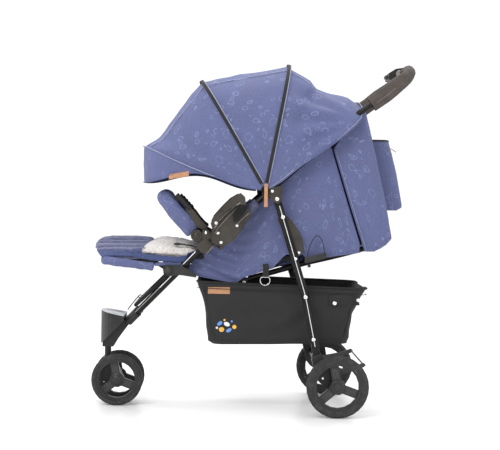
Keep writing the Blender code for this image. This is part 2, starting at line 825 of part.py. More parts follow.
def handle_path():
    """Centre line of the whole handle, from the left hinge over the grips to the right hinge."""
    half = [Vector((x, HANDLE_Y, z)) for x, z in (HANDLE_START, HANDLE_BEND)]
    half += smooth_path(GRIP_PATH, 2)
    left = [Vector((p.x, -p.y, p.z)) for p in half]
    return left + half[::-1]


def handle_tube():
    piece = solid("handle_tube", *tube(handle_path(), TUBE_RADIUS, 10), black_metal)
    way = Vector((HANDLE_BEND[0] - HANDLE_START[0], HANDLE_BEND[1] - HANDLE_START[1])).normalized()
    across = Vector((-way.y, way.x))
    axis = Vector(FOLD_AXIS)
    knuckle_radius = 0.0145
    tip = Vector(HANDLE_START) + way * 0.03
    neck = [
        axis - across * 0.012,
        tip - across * 0.008,
        tip + across * 0.008,
        axis + across * 0.012,
    ]
    for side_name, side in SIDES.items():
        y_range = on_side(side, HANDLE_Y - 0.0085, HANDLE_Y + 0.0085)
        add(piece, prism([tuple(p) for p in neck], *y_range), "neck_" + side_name)
        add(piece, pin(FOLD_AXIS, knuckle_radius, *y_range, 20), "knuckle_" + side_name)
        cut(piece, pin(FOLD_AXIS, PIN_RADIUS + PIN_CLEARANCE, *on_side(side, 0.2, 0.24)), "hole_" + side_name)
    hang(piece, "fold_turn")


def grip(side_name, side):
    """Foam sleeve, tall and flat on the side tube and round on the crossbar."""
    path = [Vector((p.x, side * p.y, p.z)) for p in smooth_path(GRIP_PATH, 2)]
    outlines = []
    for i in range(len(path)):
        part = min(1.0, max(0.0, (i - 3) / (len(path) - 7)))
        part = part * part * (3 - 2 * part)
        tall = GRIP_HALF_HEIGHT_LOW + (GRIP_HALF_SIZE_TOP - GRIP_HALF_HEIGHT_LOW) * part
        flat = GRIP_HALF_THICKNESS_LOW + (GRIP_HALF_SIZE_TOP - GRIP_HALF_THICKNESS_LOW) * part
        outlines.append(section(tall, flat, 12, 2.4))
    bore = TUBE_RADIUS + PIN_CLEARANCE * 2
    piece = solid("handle_grip_" + side_name, *swept(path, outlines, (0, 1, 0), bore), foam)
    hang(piece, "fold_turn")


def fold_mechanism():
    """The release housing in the middle of the crossbar, with its trigger."""
    outline = [
        (0.403, 0.987),
        (0.404, 1.006),
        (0.424, 1.019),
        (0.452, 1.024),
        (0.466, 1.018),
        (0.470, 1.006),
        (0.465, 0.994),
        (0.452, 0.988),
        (0.425, 0.984),
    ]
    reach = MECHANISM_HALF_WIDTH - GAP
    piece = solid("fold_mechanism", *prism(outline, -reach, reach), black_plastic)
    crossbar = (GRIP_PATH[-1][0], GRIP_PATH[-1][2])
    cut(piece, pin(crossbar, TUBE_RADIUS + PIN_CLEARANCE * 2, -0.06, 0.06), "bore")
    slot_half = TRIGGER_HALF_WIDTH + PIN_CLEARANCE
    slot_end = TRIGGER_BACK + TRIGGER_TRAVEL + 0.001
    slot_low = (0.39, -slot_half, TRIGGER_LOW - PIN_CLEARANCE)
    slot_high = (slot_end, slot_half, TRIGGER_HIGH + PIN_CLEARANCE)
    cut(piece, block(slot_low, slot_high), "slot")
    hang(piece, "fold_turn")
    carrier("fold_trigger_slide", (TRIGGER_FRONT, 0, (TRIGGER_LOW + TRIGGER_HIGH) / 2), "fold_turn")
    low = (TRIGGER_FRONT, -TRIGGER_HALF_WIDTH, TRIGGER_LOW)
    high = (TRIGGER_BACK, TRIGGER_HALF_WIDTH, TRIGGER_HIGH)
    trigger = solid("fold_trigger", *block(low, high), black_plastic)
    soften(trigger, 0.0015)
    hang(trigger, "fold_trigger_slide")


def leg_pivot_housing(side_name, side):
    """Clevis on the handle tube for the rear leg, with the canopy's pivot pin beside it."""
    inner_plate = [
        (0.024, 0.636),
        (0.022, 0.652),
        (0.032, 0.660),
        (0.048, 0.652),
        (0.0795, 0.6625),
        (0.0803, 0.6195),
        (0.070, 0.610),
        (0.050, 0.622),
    ]
    name = "leg_pivot_housing_" + side_name
    plate = prism(inner_plate, *on_side(side, CHEEK_INNER, CHEEK_INNER + CLEVIS_PLATE))
    piece = solid(name, *plate, black_plastic)
    crown = [(0.046, 0.640), (0.046, 0.651), (0.0785, 0.6615), (0.0790, 0.6405)]
    add(piece, prism(crown, *on_side(side, CHEEK_INNER + 0.001, CLEVIS_OUTER - 0.001)), "crown")
    outer_plate = [
        (0.044, 0.632),
        (0.045, 0.652),
        (0.0795, 0.6625),
        (0.0803, 0.6195),
        (0.070, 0.609),
        (0.052, 0.616),
    ]
    plate_range = on_side(side, CLEVIS_OUTER - CLEVIS_OUTER_PLATE, CLEVIS_OUTER)
    add(piece, prism(outer_plate, *plate_range), "outer_plate")
    pin_range = on_side(side, CHEEK_INNER + 0.001, CLEVIS_OUTER - 0.001)
    add(piece, pin(LEG_AXIS, PIN_RADIUS, *pin_range), "leg_pin")
    canopy_pin_end = bow_layer(1) + BOW_FOOT_THICKNESS + 0.0003
    add(piece, pin(CANOPY_AXIS, 0.003, *on_side(side, CHEEK_INNER + 0.001, canopy_pin_end)), "canopy_pin")
    hang(piece, "fold_turn")


def bow_layer(number):
    """Inner face of a bow's foot: 0 is the middle bow, 1 the front bow."""
    return CHEEK_INNER + CLEVIS_PLATE + GAP + number * (BOW_FOOT_THICKNESS + GAP)


def canopy_radius(angle):
    """How far the canopy reaches from its pivot: the cloth runs straight from one knot to the next."""
    for (a, reach_a), (b, reach_b) in zip(CANOPY_REACH, CANOPY_REACH[1:]):
        if angle <= b:
            break
    from_a = math.sin(math.radians(angle - a))
    to_b = math.sin(math.radians(b - angle))
    return reach_a * reach_b * math.sin(math.radians(b - a)) / (reach_a * from_a + reach_b * to_b)


def arch(angle, half_width, reach, count, root=CANOPY_ROOT):
    """Points of an arch over the seat, from the left pivot to the right one."""
    way = math.radians(angle)
    first = math.asin((root / reach) ** (CANOPY_POWER / 2))
    points = []
    for i in range(count + 1):
        turn = first + (math.pi - 2 * first) * i / count
        c, s = math.cos(turn), math.sin(turn)
        y = -half_width * math.copysign(abs(c) ** (2 / CANOPY_POWER), c)
        r = reach * s ** (2 / CANOPY_POWER)
        points.append(Vector((CANOPY_AXIS[0] + r * math.cos(way), y, CANOPY_AXIS[1] + r * math.sin(way))))
    return points


def canopy_panel(name, first, last, parent):
    """Curved sheet between two angles round the canopy's pivot."""
    count = CANOPY_COLUMNS
    knots = [angle for angle, reach in CANOPY_REACH if first + 1 < angle < last - 1]
    angles = [first]
    for knot in knots + [last]:
        steps = math.ceil((knot - angles[-1]) / CANOPY_ROW_TURN)
        angles += [angles[-1] + (knot - angles[-1]) * i / steps for i in range(1, steps + 1)]
    verts = []
    for wall in (0, CANOPY_WALL):
        for angle in angles:
            verts += arch(angle, CANOPY_HALF_WIDTH - wall, canopy_radius(angle) - wall, count)
    steps = len(angles) - 1
    rows = steps + 1
    columns = count + 1
    shift = rows * columns
    faces = []
    for base in (0, shift):
        for i in range(steps):
            for j in range(count):
                a = base + i * columns + j
                faces.append((a, a + 1, a + columns + 1, a + columns))
    for i in (0, steps):
        for j in range(count):
            a = i * columns + j
            faces.append((a, a + 1, a + 1 + shift, a + shift))
    for j in (0, count):
        for i in range(steps):
            a = i * columns + j
            faces.append((a, a + columns, a + columns + shift, a + shift))
    hang(solid(name, verts, faces, blue_cloth), parent)


def canopy_bow(name, angle, layer, parent):
    inner = bow_layer(layer)
    half_width = inner + BOW_FOOT_THICKNESS / 2
    reach = canopy_radius(angle) - CANOPY_WALL - BOW_RADIUS - GAP * 2
    over = arch(angle, half_width, reach, CANOPY_COLUMNS)
    x = CANOPY_AXIS[0] + (over[0].x - CANOPY_AXIS[0]) * 0.4
    z = CANOPY_AXIS[1] + (over[0].z - CANOPY_AXIS[1]) * 0.4
    path = [(x, -half_width, z)] + over + [(x, half_width, z)]
    piece = solid(name, *tube(path, BOW_RADIUS, 6), black_metal)
    for side_name, side in SIDES.items():
        y_range = on_side(side, inner, inner + BOW_FOOT_THICKNESS)
        add(piece, pin(CANOPY_AXIS, BOW_FOOT_RADIUS, *y_range, 16), "foot_" + side_name)
    for side_name, side in SIDES.items():
        cut(piece, pin(CANOPY_AXIS, 0.003 + PIN_CLEARANCE, *on_side(side, 0.22, 0.26)), "hole_" + side_name)
    hang(piece, parent)


def zip_pull(side_name, side):
    """Leather tag that hangs from the canopy's zip."""
    name = "zip_pull_" + side_name
    near = CANOPY_HALF_WIDTH + GAP * 2
    carrier(name + "_turn", (ZIP_AT[0], side * near, ZIP_AT[1]), "middle_bow_turn")
    tag = [(0.029, 0.600), (0.039, 0.600), (0.039, 0.666), (0.029, 0.666)]
    piece = solid(name, *prism(tag, *on_side(side, 0.2545, 0.2570)), tan_leather)
    add(piece, pin(ZIP_AT, 0.003, *on_side(side, near, 0.2550), 8), "link")
    hang(piece, name + "_turn")


def leg_y(z):
    """Distance of the rear leg's centre from the middle plane at a height."""
    part = (LEG_AXIS[1] - z) / (LEG_AXIS[1] - LEG_FOOT.z)
    return LEG_TOP_Y + (LEG_FOOT.y - LEG_TOP_Y) * part


def rear_leg(side_name, side):
    knee = Vector((LEG_KNEE_X, LEG_KNEE_Z))
    way = (Vector(LEG_AXIS) - knee).normalized()
    top = Vector(LEG_AXIS) + way * 0.011
    spots = [(top.x, top.y), (LEG_KNEE_X, LEG_KNEE_Z), (LEG_FOOT.x, LEG_FOOT.z)]
    path = [Vector((x, side * leg_y(z), z)) for x, z in spots]
    outline = section(LEG_THICKNESS / 2, LEG_WIDTH / 2, 12, 5)
    piece = solid("rear_leg_" + side_name, *swept(path, [outline] * 3, (1, 0, 0)), black_metal)
    cut(piece, pin(LEG_AXIS, PIN_RADIUS + PIN_CLEARANCE, *on_side(side, 0.22, 0.26)), "hole")
    hang(piece, "leg_turn")


def wheel_bracket(side_name, side):
    """Joins the rear leg, the axle tube and the wheel's stub axle."""
    way = Vector((LEG_FOOT.x - LEG_KNEE_X, LEG_FOOT.z - LEG_KNEE_Z)).normalized()
    across = Vector((-way.y, way.x))
    top = Vector((LEG_FOOT.x, LEG_FOOT.z)) + way * GAP * 5
    outline = [
        tuple(top + across * 0.014),
        (0.2165, 0.150),
        (0.238, 0.132),
        (0.262, 0.100),
        (0.264, 0.084),
        (0.252, 0.073),
        (0.236, 0.074),
        (0.200, 0.096),
        (0.190, 0.108),
        (0.176, 0.160),
        tuple(top - across * 0.014),
    ]
    body = prism(outline, *on_side(side, BRACKET_INNER, BRACKET_OUTER))
    piece = solid("wheel_bracket_" + side_name, *body, black_plastic)
    end = REAR_TRACK / 2 + AXLE_IN_HUB
    hub = (REAR_HUB_X, REAR_WHEEL_RADIUS)
    add(piece, pin(hub, AXLE_RADIUS, *on_side(side, BRACKET_INNER + 0.005, end)), "axle")
    hole_range = on_side(side, BRACKET_INNER - 0.006, BRACKET_INNER + 0.0145)
    hole = pin(BRAKE_AXIS, BRAKE_PIN_RADIUS + PIN_CLEARANCE, *hole_range)
    cut(piece, hole, "brake_hole")
    hang(piece, "leg_turn")


def brake():
    """Two foot levers joined by a rod."""
    outline = [
        (0.2210, 0.1160),
        (0.2260, 0.1075),
        (0.2360, 0.1060),
        (0.2480, 0.1120),
        (0.3000, 0.1280),
        (0.3290, 0.1395),
        (0.3355, 0.1460),
        (0.3290, 0.1525),
        (0.2960, 0.1410),
        (0.2400, 0.1300),
        (0.2260, 0.1280),
    ]
    outer = BRACKET_INNER - GAP
    rod_reach = outer - BRAKE_THICKNESS / 2
    piece = solid("brake_lever", *pin(BRAKE_TIP, BRAKE_ROD_RADIUS, -rod_reach, rod_reach, 8), black_metal)
    for side_name, side in SIDES.items():
        add(piece, prism(outline, *on_side(side, outer - BRAKE_THICKNESS, outer)), "lever_" + side_name)
        pin_range = on_side(side, outer - 0.004, 0.200)
        add(piece, pin(BRAKE_AXIS, BRAKE_PIN_RADIUS, *pin_range), "pin_" + side_name)
    hang(piece, "brake_turn")


def rear_frame():
    reach = BRACKET_INNER - GAP
    tube_piece = solid("rear_axle_tube", *pin(AXLE_TUBE_AT, AXLE_TUBE_RADIUS, -reach, reach, 14), black_metal)
    hang(tube_piece, "leg_turn")
    for side_name, side in SIDES.items():
        rear_leg(side_name, side)
        wheel_bracket(side_name, side)
        hub = (REAR_HUB_X, side * REAR_TRACK / 2, REAR_WHEEL_RADIUS)
        wheel(
            "rear", side_name, side, hub, REAR_WHEEL_RADIUS, REAR_WHEEL_WIDTH, REAR_TYRE_HEIGHT,
            REAR_BAND, REAR_HUB_RADIUS, "leg_turn",
        )
    brake()


def seat_rail(side_name, side):
    """Side bar of the seat, with the backrest's hinge plate below it."""
    front, back = RAIL_AXIS[0] - 0.010, RAIL_END[0] + 0.010
    line = [Vector((x, side * rail_y(x), RAIL_AXIS[1])) for x in (front, back)]
    outline = section(RAIL_THICKNESS / 2, RAIL_HEIGHT / 2, 8, 4)
    piece = solid("seat_rail_" + side_name, *swept(line, [outline] * 2, (0, 0, 1)), black_metal)
    hinge_y = rail_y(BACKREST_AXIS[0])
    plate = [
        (-0.040, 0.448),
        (-0.006, 0.448),
        (-0.010, 0.378),
        (-0.018, 0.372),
        (-0.028, 0.372),
        (-0.036, 0.378),
    ]
    y_range = on_side(side, hinge_y - HINGE_PLATE_HALF, hinge_y + HINGE_PLATE_HALF)
    add(piece, prism(plate, *y_range), "hinge_plate")
    low, high, way = tube_line(side)
    tube_y = abs((low + way * ((RAIL_AXIS[0] - low.x) / way.x)).y)
    gap_y = tube_y - TUBE_RADIUS - PIN_RADIUS - GAP
    add(piece, pin(RAIL_AXIS, PIN_RADIUS, *on_side(side, RAIL_Y_FRONT, gap_y)), "front_pin")
    leg_face = leg_y(RAIL_END[1]) - LEG_THICKNESS / 2 - 0.001
    add(piece, pin(RAIL_END, PIN_RADIUS, *on_side(side, RAIL_Y_REAR, leg_face)), "rear_pin")
    pin_start = BACKREST_Y - 0.003
    add(piece, pin(BACKREST_AXIS, 0.0035, *on_side(side, pin_start, hinge_y + 0.001), 10), "backrest_pin")
    hang(piece, "rail_turn")


def rail_y(x):
    part = (x - RAIL_AXIS[0]) / (RAIL_END[0] - RAIL_AXIS[0])
    return RAIL_Y_FRONT + (RAIL_Y_REAR - RAIL_Y_FRONT) * part


def seat():
    """Board between the rails, its cushion and the harness buckle."""
    def half(x):
        return rail_y(x) - RAIL_THICKNESS / 2 - GAP

    outline = [
        (SEAT_BOARD_FRONT, -half(SEAT_BOARD_FRONT)),
        (SEAT_BOARD_BACK, -half(SEAT_BOARD_FRONT)),
        (SEAT_BOARD_BACK, half(SEAT_BOARD_FRONT)),
        (SEAT_BOARD_FRONT, half(SEAT_BOARD_FRONT)),
    ]
    low_z = RAIL_AXIS[1] - SEAT_BOARD_DROP
    verts = [(x, y, low_z) for x, y in outline] + [(x, y, low_z + SEAT_BOARD_THICKNESS) for x, y in outline]
    faces = [(0, 1, 2, 3), (7, 6, 5, 4), (0, 1, 5, 4), (1, 2, 6, 5), (2, 3, 7, 6), (3, 0, 4, 7)]
    hang(solid("seat_board", verts, faces, black_plastic), "rail_turn")
    top = low_z + SEAT_BOARD_THICKNESS + GAP
    pad = cushion((-0.120, 0, top + PAD_DROP), 0.120, 0.122, PAD_LIFT, PAD_DROP, (8, 10))
    hang(solid("seat_pad", *pad, blue_cloth), "rail_turn")
    buckle_low = top + PAD_DROP + PAD_LIFT + GAP
    shell = block((-0.232, -0.022, buckle_low), (-0.186, 0.022, buckle_low + 0.014))
    body = solid("harness_buckle", *shell, black_plastic)
    soften(body, 0.003)
    hole = [(-0.209, 0, buckle_low + 0.006), (-0.209, 0, buckle_low + 0.03)]
    cut(body, tube(hole, 0.0103, 12, (1, 0, 0)), "button_hole")
    hang(body, "rail_turn")
    carrier("buckle_button_slide", (-0.209, 0, buckle_low + 0.014), "rail_turn")
    path = [(-0.209, 0, buckle_low + 0.0085), (-0.209, 0, buckle_low + 0.0165)]
    button = solid("buckle_button", *tube(path, 0.010, 12, (1, 0, 0)), black_plastic)
    hang(button, "buckle_button_slide")


def backrest():
    """U-shaped tube frame hinged below the seat, with its cushion."""
    r = BACKREST_AXIS
    corners = []
    for side in (-1, 1):
        spots = [
            (r[0], BACKREST_Y, r[1]),
            (0.165, BACKREST_Y, r[1] + 0.188 * math.tan(BACKREST_SLOPE)),
            (0.235, BACKREST_Y_WIDE, 0.4585),
            (0.366, BACKREST_Y_WIDE, 0.494),
        ]
        line = [(x, side * y, z) for x, y, z in spots]
        corners += line if side < 0 else line[::-1]
    frame = tube(rounded_path(corners, 0.035), BACKREST_TUBE_RADIUS, 10, (0, 0, 1))
    piece = solid("backrest_frame", *frame, black_metal)
    for side_name, side in SIDES.items():
        y_range = on_side(side, BACKREST_Y - 0.007, BACKREST_Y + 0.0070)
        add(piece, pin(r, 0.0095, *y_range, 14), "eye_" + side_name)
        hole_range = on_side(side, BACKREST_Y - 0.0040, 0.17)
        cut(piece, pin(r, 0.0035 + PIN_CLEARANCE, *hole_range, 10), "hole_" + side_name)
    hang(piece, "backrest_turn")
    tilt = math.radians(15.2)
    away = Vector((-math.sin(tilt), 0, math.cos(tilt)))
    middle = Vector((BACKREST_PAD_AT[0], 0, BACKREST_PAD_AT[1])) + away * (BACKREST_TUBE_RADIUS + 0.0013)
    pad = cushion(middle, 0.148, 0.155, 0.022, 0.008, (10, 10), tilt)
    hang(solid("backrest_pad", *pad, blue_cloth), "backrest_turn")


def side_panel(side_name, side):
    """Cloth wall from the front tube to the dark gap before the back panel."""
    # x, distance from the middle plane, lower edge, upper edge
    columns = [
        (-0.160, 0.1528, 0.396, 0.455),
        (-0.138, 0.1650, 0.392, 0.478),
        (-0.100, 0.1715, 0.385, 0.503),
        (-0.048, 0.1790, 0.378, 0.548),
        (-0.026, 0.1835, 0.394, 0.568),
        (0.015, 0.1930, 0.409, 0.606),
        (0.060, 0.2020, 0.424, 0.648),
        (0.095, 0.2070, 0.464, 0.678),
        (0.148, 0.2085, 0.464, 0.727),
        (0.158, 0.2085, 0.447, 0.736),
        (0.218, 0.2085, 0.459, 0.768),
        (0.262, 0.2085, 0.466, 0.644),
        (0.308, 0.2085, 0.473, 0.500),
    ]
    verts = []
    for offset in (-FABRIC / 2, FABRIC / 2):
        for x, y, low, high in columns:
            verts += [(x, side * (y + offset), low + (high - low) * part) for part in (0, 0.5, 1)]
    rows, shift = len(columns), len(columns) * 3
    faces = []
    for base in (0, shift):
        for i in range(rows - 1):
            for j in range(2):
                a = base + i * 3 + j
                faces.append((a, a + 1, a + 4, a + 3))
    for i in range(rows - 1):
        for j in (0, 2):
            a = i * 3 + j
            faces.append((a, a + 3, a + 3 + shift, a + shift))
    for i in (0, rows - 1):
        for j in range(2):
            a = i * 3 + j
            faces.append((a, a + 1, a + 1 + shift, a + shift))
    hang(solid("side_panel_" + side_name, verts, faces, blue_cloth), "rail_turn")


def back_panel():
    """Cloth wall round the head end, open to the front and below the canopy."""
    verts = []
    for z, front, rear in BACK_LEVELS:
        for wall in (0, FABRIC):
            half = BACK_HALF_WIDTH - wall
            r = min(BACK_CORNER, (rear - front) * 0.8) - wall
            back = rear - wall
            side = [(front, half), (back - r, half)]
            side += [(back - r + r * math.sin(a), half - r + r * math.cos(a)) for a in (0.4, 0.8, 1.2)]
            side += [(back, half - r)]
            ring = [(x, -y, z) for x, y in side] + [(x, y, z) for x, y in side[::-1]]
            verts += ring
    count = 12
    levels = len(BACK_LEVELS)
    faces = []
    for level in range(levels - 1):
        for wall in (0, 1):
            a = (level * 2 + wall) * count
            b = a + 2 * count
            faces += [(a + i, a + i + 1, b + i + 1, b + i) for i in range(count - 1)]
        for i in (0, count - 1):
            a = level * 2 * count + i
            faces.append((a, a + count, a + 3 * count, a + 2 * count))
    for level in (0, levels - 1):
        a = level * 2 * count
        faces += [(a + i, a + i + 1, a + count + i + 1, a + count + i) for i in range(count - 1)]
    hang(solid("back_panel", verts, faces, blue_cloth), "backrest_turn")
    pocket = [
        (back_x(POCKET_TOP) + POCKET_FACE, POCKET_TOP),
        (0.400, POCKET_TOP - 0.005),
        (0.424, 0.710),
        (0.446, POCKET_LOW + 0.008),
        (0.440, POCKET_LOW),
        (back_x(POCKET_LOW) + POCKET_FACE, POCKET_LOW),
        (back_x(POCKET_BEND) + POCKET_FACE, POCKET_BEND),
    ]
    outline = prism(pocket, -POCKET_HALF_WIDTH, POCKET_HALF_WIDTH)
    piece = solid("storage_pocket", *outline, blue_cloth)
    hang(piece, "backrest_turn")


def back_x(z):
    """Outer face of the back panel at a height."""
    for (low, _, x_low), (high, _, x_high) in zip(BACK_LEVELS, BACK_LEVELS[1:]):
        if low <= z <= high:
            return x_low + (x_high - x_low) * (z - low) / (high - low)
    return BACK_LEVELS[-1][2]


def leg_rest():
    """U-shaped tube with its quilted pad, whose sewn channels run lengthwise."""
    corners = []
    for side in (-1, 1):
        spots = [LEG_REST_AXIS, (-0.285, 0.436), (-0.432, 0.437)]
        line = [(x, side * LEG_REST_Y, z) for x, z in spots]
        corners += line if side < 0 else line[::-1]
    frame = tube(rounded_path(corners, 0.02), LEG_REST_TUBE_RADIUS, 8, (0, 0, 1))
    piece = solid("leg_rest_frame", *frame, black_metal)
    for side_name, side in SIDES.items():
        eye = on_side(side, LEG_REST_Y - 0.0055, LEG_REST_Y + 0.0055)
        add(piece, pin(LEG_REST_AXIS, 0.008, *eye, 12), "eye_" + side_name)
        hole_range = on_side(side, LEG_REST_Y - 0.0035, 0.16)
        cut(piece, pin(LEG_REST_AXIS, 0.0028, *hole_range, 8), "hole_" + side_name)
    hang(piece, "leg_rest_turn")
    bottom = 0.437 + LEG_REST_TUBE_RADIUS - GAP * 3
    pad = cushion((-0.3615, 0, bottom + 0.005), 0.0985, 0.152, 0.0565, 0.005, (6, 28), 0, 7, 0.22)
    hang(solid("leg_rest_pad", *pad, blue_cloth), "leg_rest_turn")


def bumper():
    """Padded bar in front of the child, on a disc at each socket."""
    half = smooth_path(BUMPER_PATH, 2)
    left = [Vector((p.x, -p.y, p.z)) for p in half]
    path = left + half[::-1]
    piece = solid("bumper_bar", *tube(path, BUMPER_RADIUS - 0.003, 10), black_metal)
    for side_name, side in SIDES.items():
        y_range = on_side(side, BOSS_SPLIT - 0.0147, BOSS_SPLIT - GAP)
        add(piece, pin(BUMPER_AXIS, BOSS_RADIUS, *y_range, 20), "disc_" + side_name)
        hole_range = on_side(side, BOSS_SPLIT - 0.0137, 0.21)
        cut(piece, pin(BUMPER_AXIS, PIN_RADIUS + PIN_CLEARANCE, *hole_range), "hole_" + side_name)
    hang(piece, "bumper_turn")
    covered = path[3:-3]
    outlines = []
    middle = (len(covered) - 1) / 2
    for i in range(len(covered)):
        off = abs(i - middle) / middle
        ends = 1 - 0.22 * off**8
        thin = COVER_THIN + (COVER_HALF - COVER_THIN) * max(0.0, 1 - off**2)
        outlines.append(section(COVER_HALF * ends, thin * ends, 12, 2.3))
    cover = swept(covered, outlines, (0, 1, 0), BUMPER_RADIUS - 0.003 + GAP * 2)
    hang(solid("bumper_cover", *cover, blue_cloth), "bumper_turn")


def basket():
    """Open bag under the seat."""
    def ring(level, wall):
        z_front, z_rear, front, rear, half = BASKET_LEVELS[level]
        front += wall
        rear -= wall
        half -= wall
        r = BASKET_CORNER
        corners = (
            (rear - r, half - r, 0),
            (front + r, half - r, 90),
            (front + r, r - half, 180),
            (rear - r, r - half, 270),
        )
        points = []
        for x, y, start in corners:
            for step in (0, 30, 60, 90):
                a = math.radians(start + step)
                px = x + r * math.cos(a)
                z = z_front + (z_rear - z_front) * (px - front) / (rear - front)
                points.append((px, y + r * math.sin(a), z))
        return points

    levels = len(BASKET_LEVELS)
    rings = [ring(level, 0) for level in range(levels)]
    inner = [ring(level, BASKET_WALL) for level in range(levels - 1, -1, -1)]
    inner[-1] = [(x, y, z + BASKET_WALL) for x, y, z in inner[-1]]
    rings += inner
    count = len(rings[0])
    verts = [p for points in rings for p in points]
    faces = [tuple(range(count)), tuple(range((len(rings) - 1) * count, len(rings) * count))]
    for level in range(len(rings) - 1):
        for i in range(count):
            j = (i + 1) % count
            a, b = level * count, (level + 1) * count
            faces.append((a + i, a + j, b + j, b + i))
    piece = solid("basket", verts, faces, black_cloth)
    for side_name, side in SIDES.items():
        plate = rail_y(BACKREST_AXIS[0]) + HINGE_PLATE_HALF + GAP
        front_loop = [(-0.029, 0.366), (-0.013, 0.366), (-0.013, 0.386), (-0.029, 0.386)]
        add(piece, prism(front_loop, *on_side(side, plate, 0.1885)), "front_loop_" + side_name)
        leg = leg_y(LEG_KNEE_Z - 0.01) - LEG_THICKNESS / 2 - GAP * 1.5
        rear_loop = [(0.141, 0.335), (0.157, 0.335), (0.157, 0.363), (0.141, 0.363)]
        add(piece, prism(rear_loop, *on_side(side, 0.1865, leg)), "rear_loop_" + side_name)
    hang(piece, "chassis")


caster()
front_housing()
footrest()
footrest_brace()
handle_tube()
fold_mechanism()
canopy_bow("canopy_middle_bow", MIDDLE_BOW_ANGLE, 0, "middle_bow_turn")
canopy_bow("canopy_front_bow", FRONT_BOW_ANGLE, 1, "front_bow_turn")
canopy_panel("canopy_rear_panel", REAR_EDGE_ANGLE, MIDDLE_BOW_ANGLE - SEAM_GAP, "fold_turn")
middle_span = (MIDDLE_BOW_ANGLE + SEAM_GAP, FRONT_BOW_ANGLE - SEAM_GAP)
canopy_panel("canopy_middle_panel", *middle_span, "middle_bow_turn")
canopy_panel("canopy_front_panel", FRONT_BOW_ANGLE + SEAM_GAP, VISOR_ANGLE, "front_bow_turn")
rear_frame()
seat()
backrest()
back_panel()
leg_rest()
bumper()
basket()
for side_name, side in SIDES.items():
    front_tube(side_name, side)
    fold_housing(side_name, side)
    bumper_socket(side_name, side)
    leg_rest_joint(side_name, side)
    grip(side_name, side)
    leg_pivot_housing(side_name, side)
    zip_pull(side_name, side)
    seat_rail(side_name, side)
    side_panel(side_name, side)
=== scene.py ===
"""Looks of the stroller: materials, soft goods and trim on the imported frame."""
import math
from contextlib import contextmanager

import bmesh
import bpy
import numpy as np
from mathutils import Matrix, Vector, noise
from mathutils.bvhtree import BVHTree


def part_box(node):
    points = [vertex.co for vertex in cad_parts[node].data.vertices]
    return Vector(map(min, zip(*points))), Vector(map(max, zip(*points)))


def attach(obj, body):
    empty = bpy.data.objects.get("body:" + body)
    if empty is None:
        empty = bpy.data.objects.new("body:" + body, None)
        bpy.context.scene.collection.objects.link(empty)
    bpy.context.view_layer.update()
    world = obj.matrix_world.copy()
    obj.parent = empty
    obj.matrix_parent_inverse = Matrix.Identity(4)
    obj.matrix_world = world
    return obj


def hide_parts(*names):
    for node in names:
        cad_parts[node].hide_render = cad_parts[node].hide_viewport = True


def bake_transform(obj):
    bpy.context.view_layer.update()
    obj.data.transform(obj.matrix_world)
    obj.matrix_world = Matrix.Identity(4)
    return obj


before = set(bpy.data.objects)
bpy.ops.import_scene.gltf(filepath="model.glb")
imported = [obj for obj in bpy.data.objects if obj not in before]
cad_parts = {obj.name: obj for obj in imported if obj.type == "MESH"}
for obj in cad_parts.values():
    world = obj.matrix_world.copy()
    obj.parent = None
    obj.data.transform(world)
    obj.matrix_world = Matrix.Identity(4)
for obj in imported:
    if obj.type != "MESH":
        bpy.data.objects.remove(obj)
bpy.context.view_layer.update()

# Driving sizes, in metres and degrees, from the CAD
SIDES = {"left": -1, "right": 1}
CANOPY_AXIS = Vector((0.032, 0, 0.648))
CANOPY_HALF_WIDTH = 0.2475
CANOPY_POWER = 3.0
CANOPY_ROOT = 0.012
REAR_EDGE_ANGLE = 44.0
MIDDLE_BOW_ANGLE = 79.3
FRONT_BOW_ANGLE = 120.5
SEAM_ANGLE = 160.7
SPOKE_ANGLES = (100, 220, 340)
VISOR_ANGLE = 177.0
CANOPY_REACH = ((REAR_EDGE_ANGLE, 0.384), (49.6, 0.374), (56.2, 0.356), (63.3, 0.347), (67.6, 0.361),
                (MIDDLE_BOW_ANGLE, 0.381), (FRONT_BOW_ANGLE, 0.3735), (150.0, 0.349), (154.5, 0.353),
                (SEAM_ANGLE, 0.380), (169.0, 0.369), (VISOR_ANGLE, 0.357))

REAR_HEM = (
    # angle, distance from the pivot, distance from the middle plane
    (10, 0.012, 0.2475), (29, 0.055, 0.2478), (35, 0.124, 0.2480), (35, 0.220, 0.2472), (35.5, 0.275, 0.2440),
    (37.0, 0.335, 0.2380), (39.0, 0.357, 0.2150), (41.0, 0.371, 0.1700), (43.0, 0.381, 0.1000),
    (44.0, 0.384, 0.0),
)

# Side walls and back wall
WALL_COLUMNS = (
    # x, distance from the middle plane, lower edge, upper edge
    (-0.182, 0.1420, 0.404, 0.421), (-0.172, 0.1440, 0.400, 0.437), (-0.160, 0.1510, 0.396, 0.455),
    (-0.138, 0.1650, 0.392, 0.478), (-0.100, 0.1715, 0.385, 0.503), (-0.048, 0.1790, 0.378, 0.548),
    (-0.026, 0.1835, 0.394, 0.568), (0.015, 0.1930, 0.409, 0.606), (0.060, 0.2020, 0.424, 0.660),
    (0.095, 0.2070, 0.464, 0.694), (0.148, 0.2085, 0.464, 0.744), (0.158, 0.2085, 0.447, 0.753),
    (0.218, 0.2085, 0.459, 0.785), (0.262, 0.2085, 0.466, 0.644), (0.308, 0.2085, 0.473, 0.500),
)
BACK_LEVELS = (
    # height, front edge x, rear x
    (0.476, 0.3230, 0.355), (0.491, 0.3180, 0.384), (0.514, 0.3105, 0.404), (0.609, 0.2790, 0.386),
    (0.770, 0.2280, 0.3485), (0.820, 0.2650, 0.337), (0.880, 0.2950, 0.3215),
)
BACK_HALF_WIDTH = 0.2095

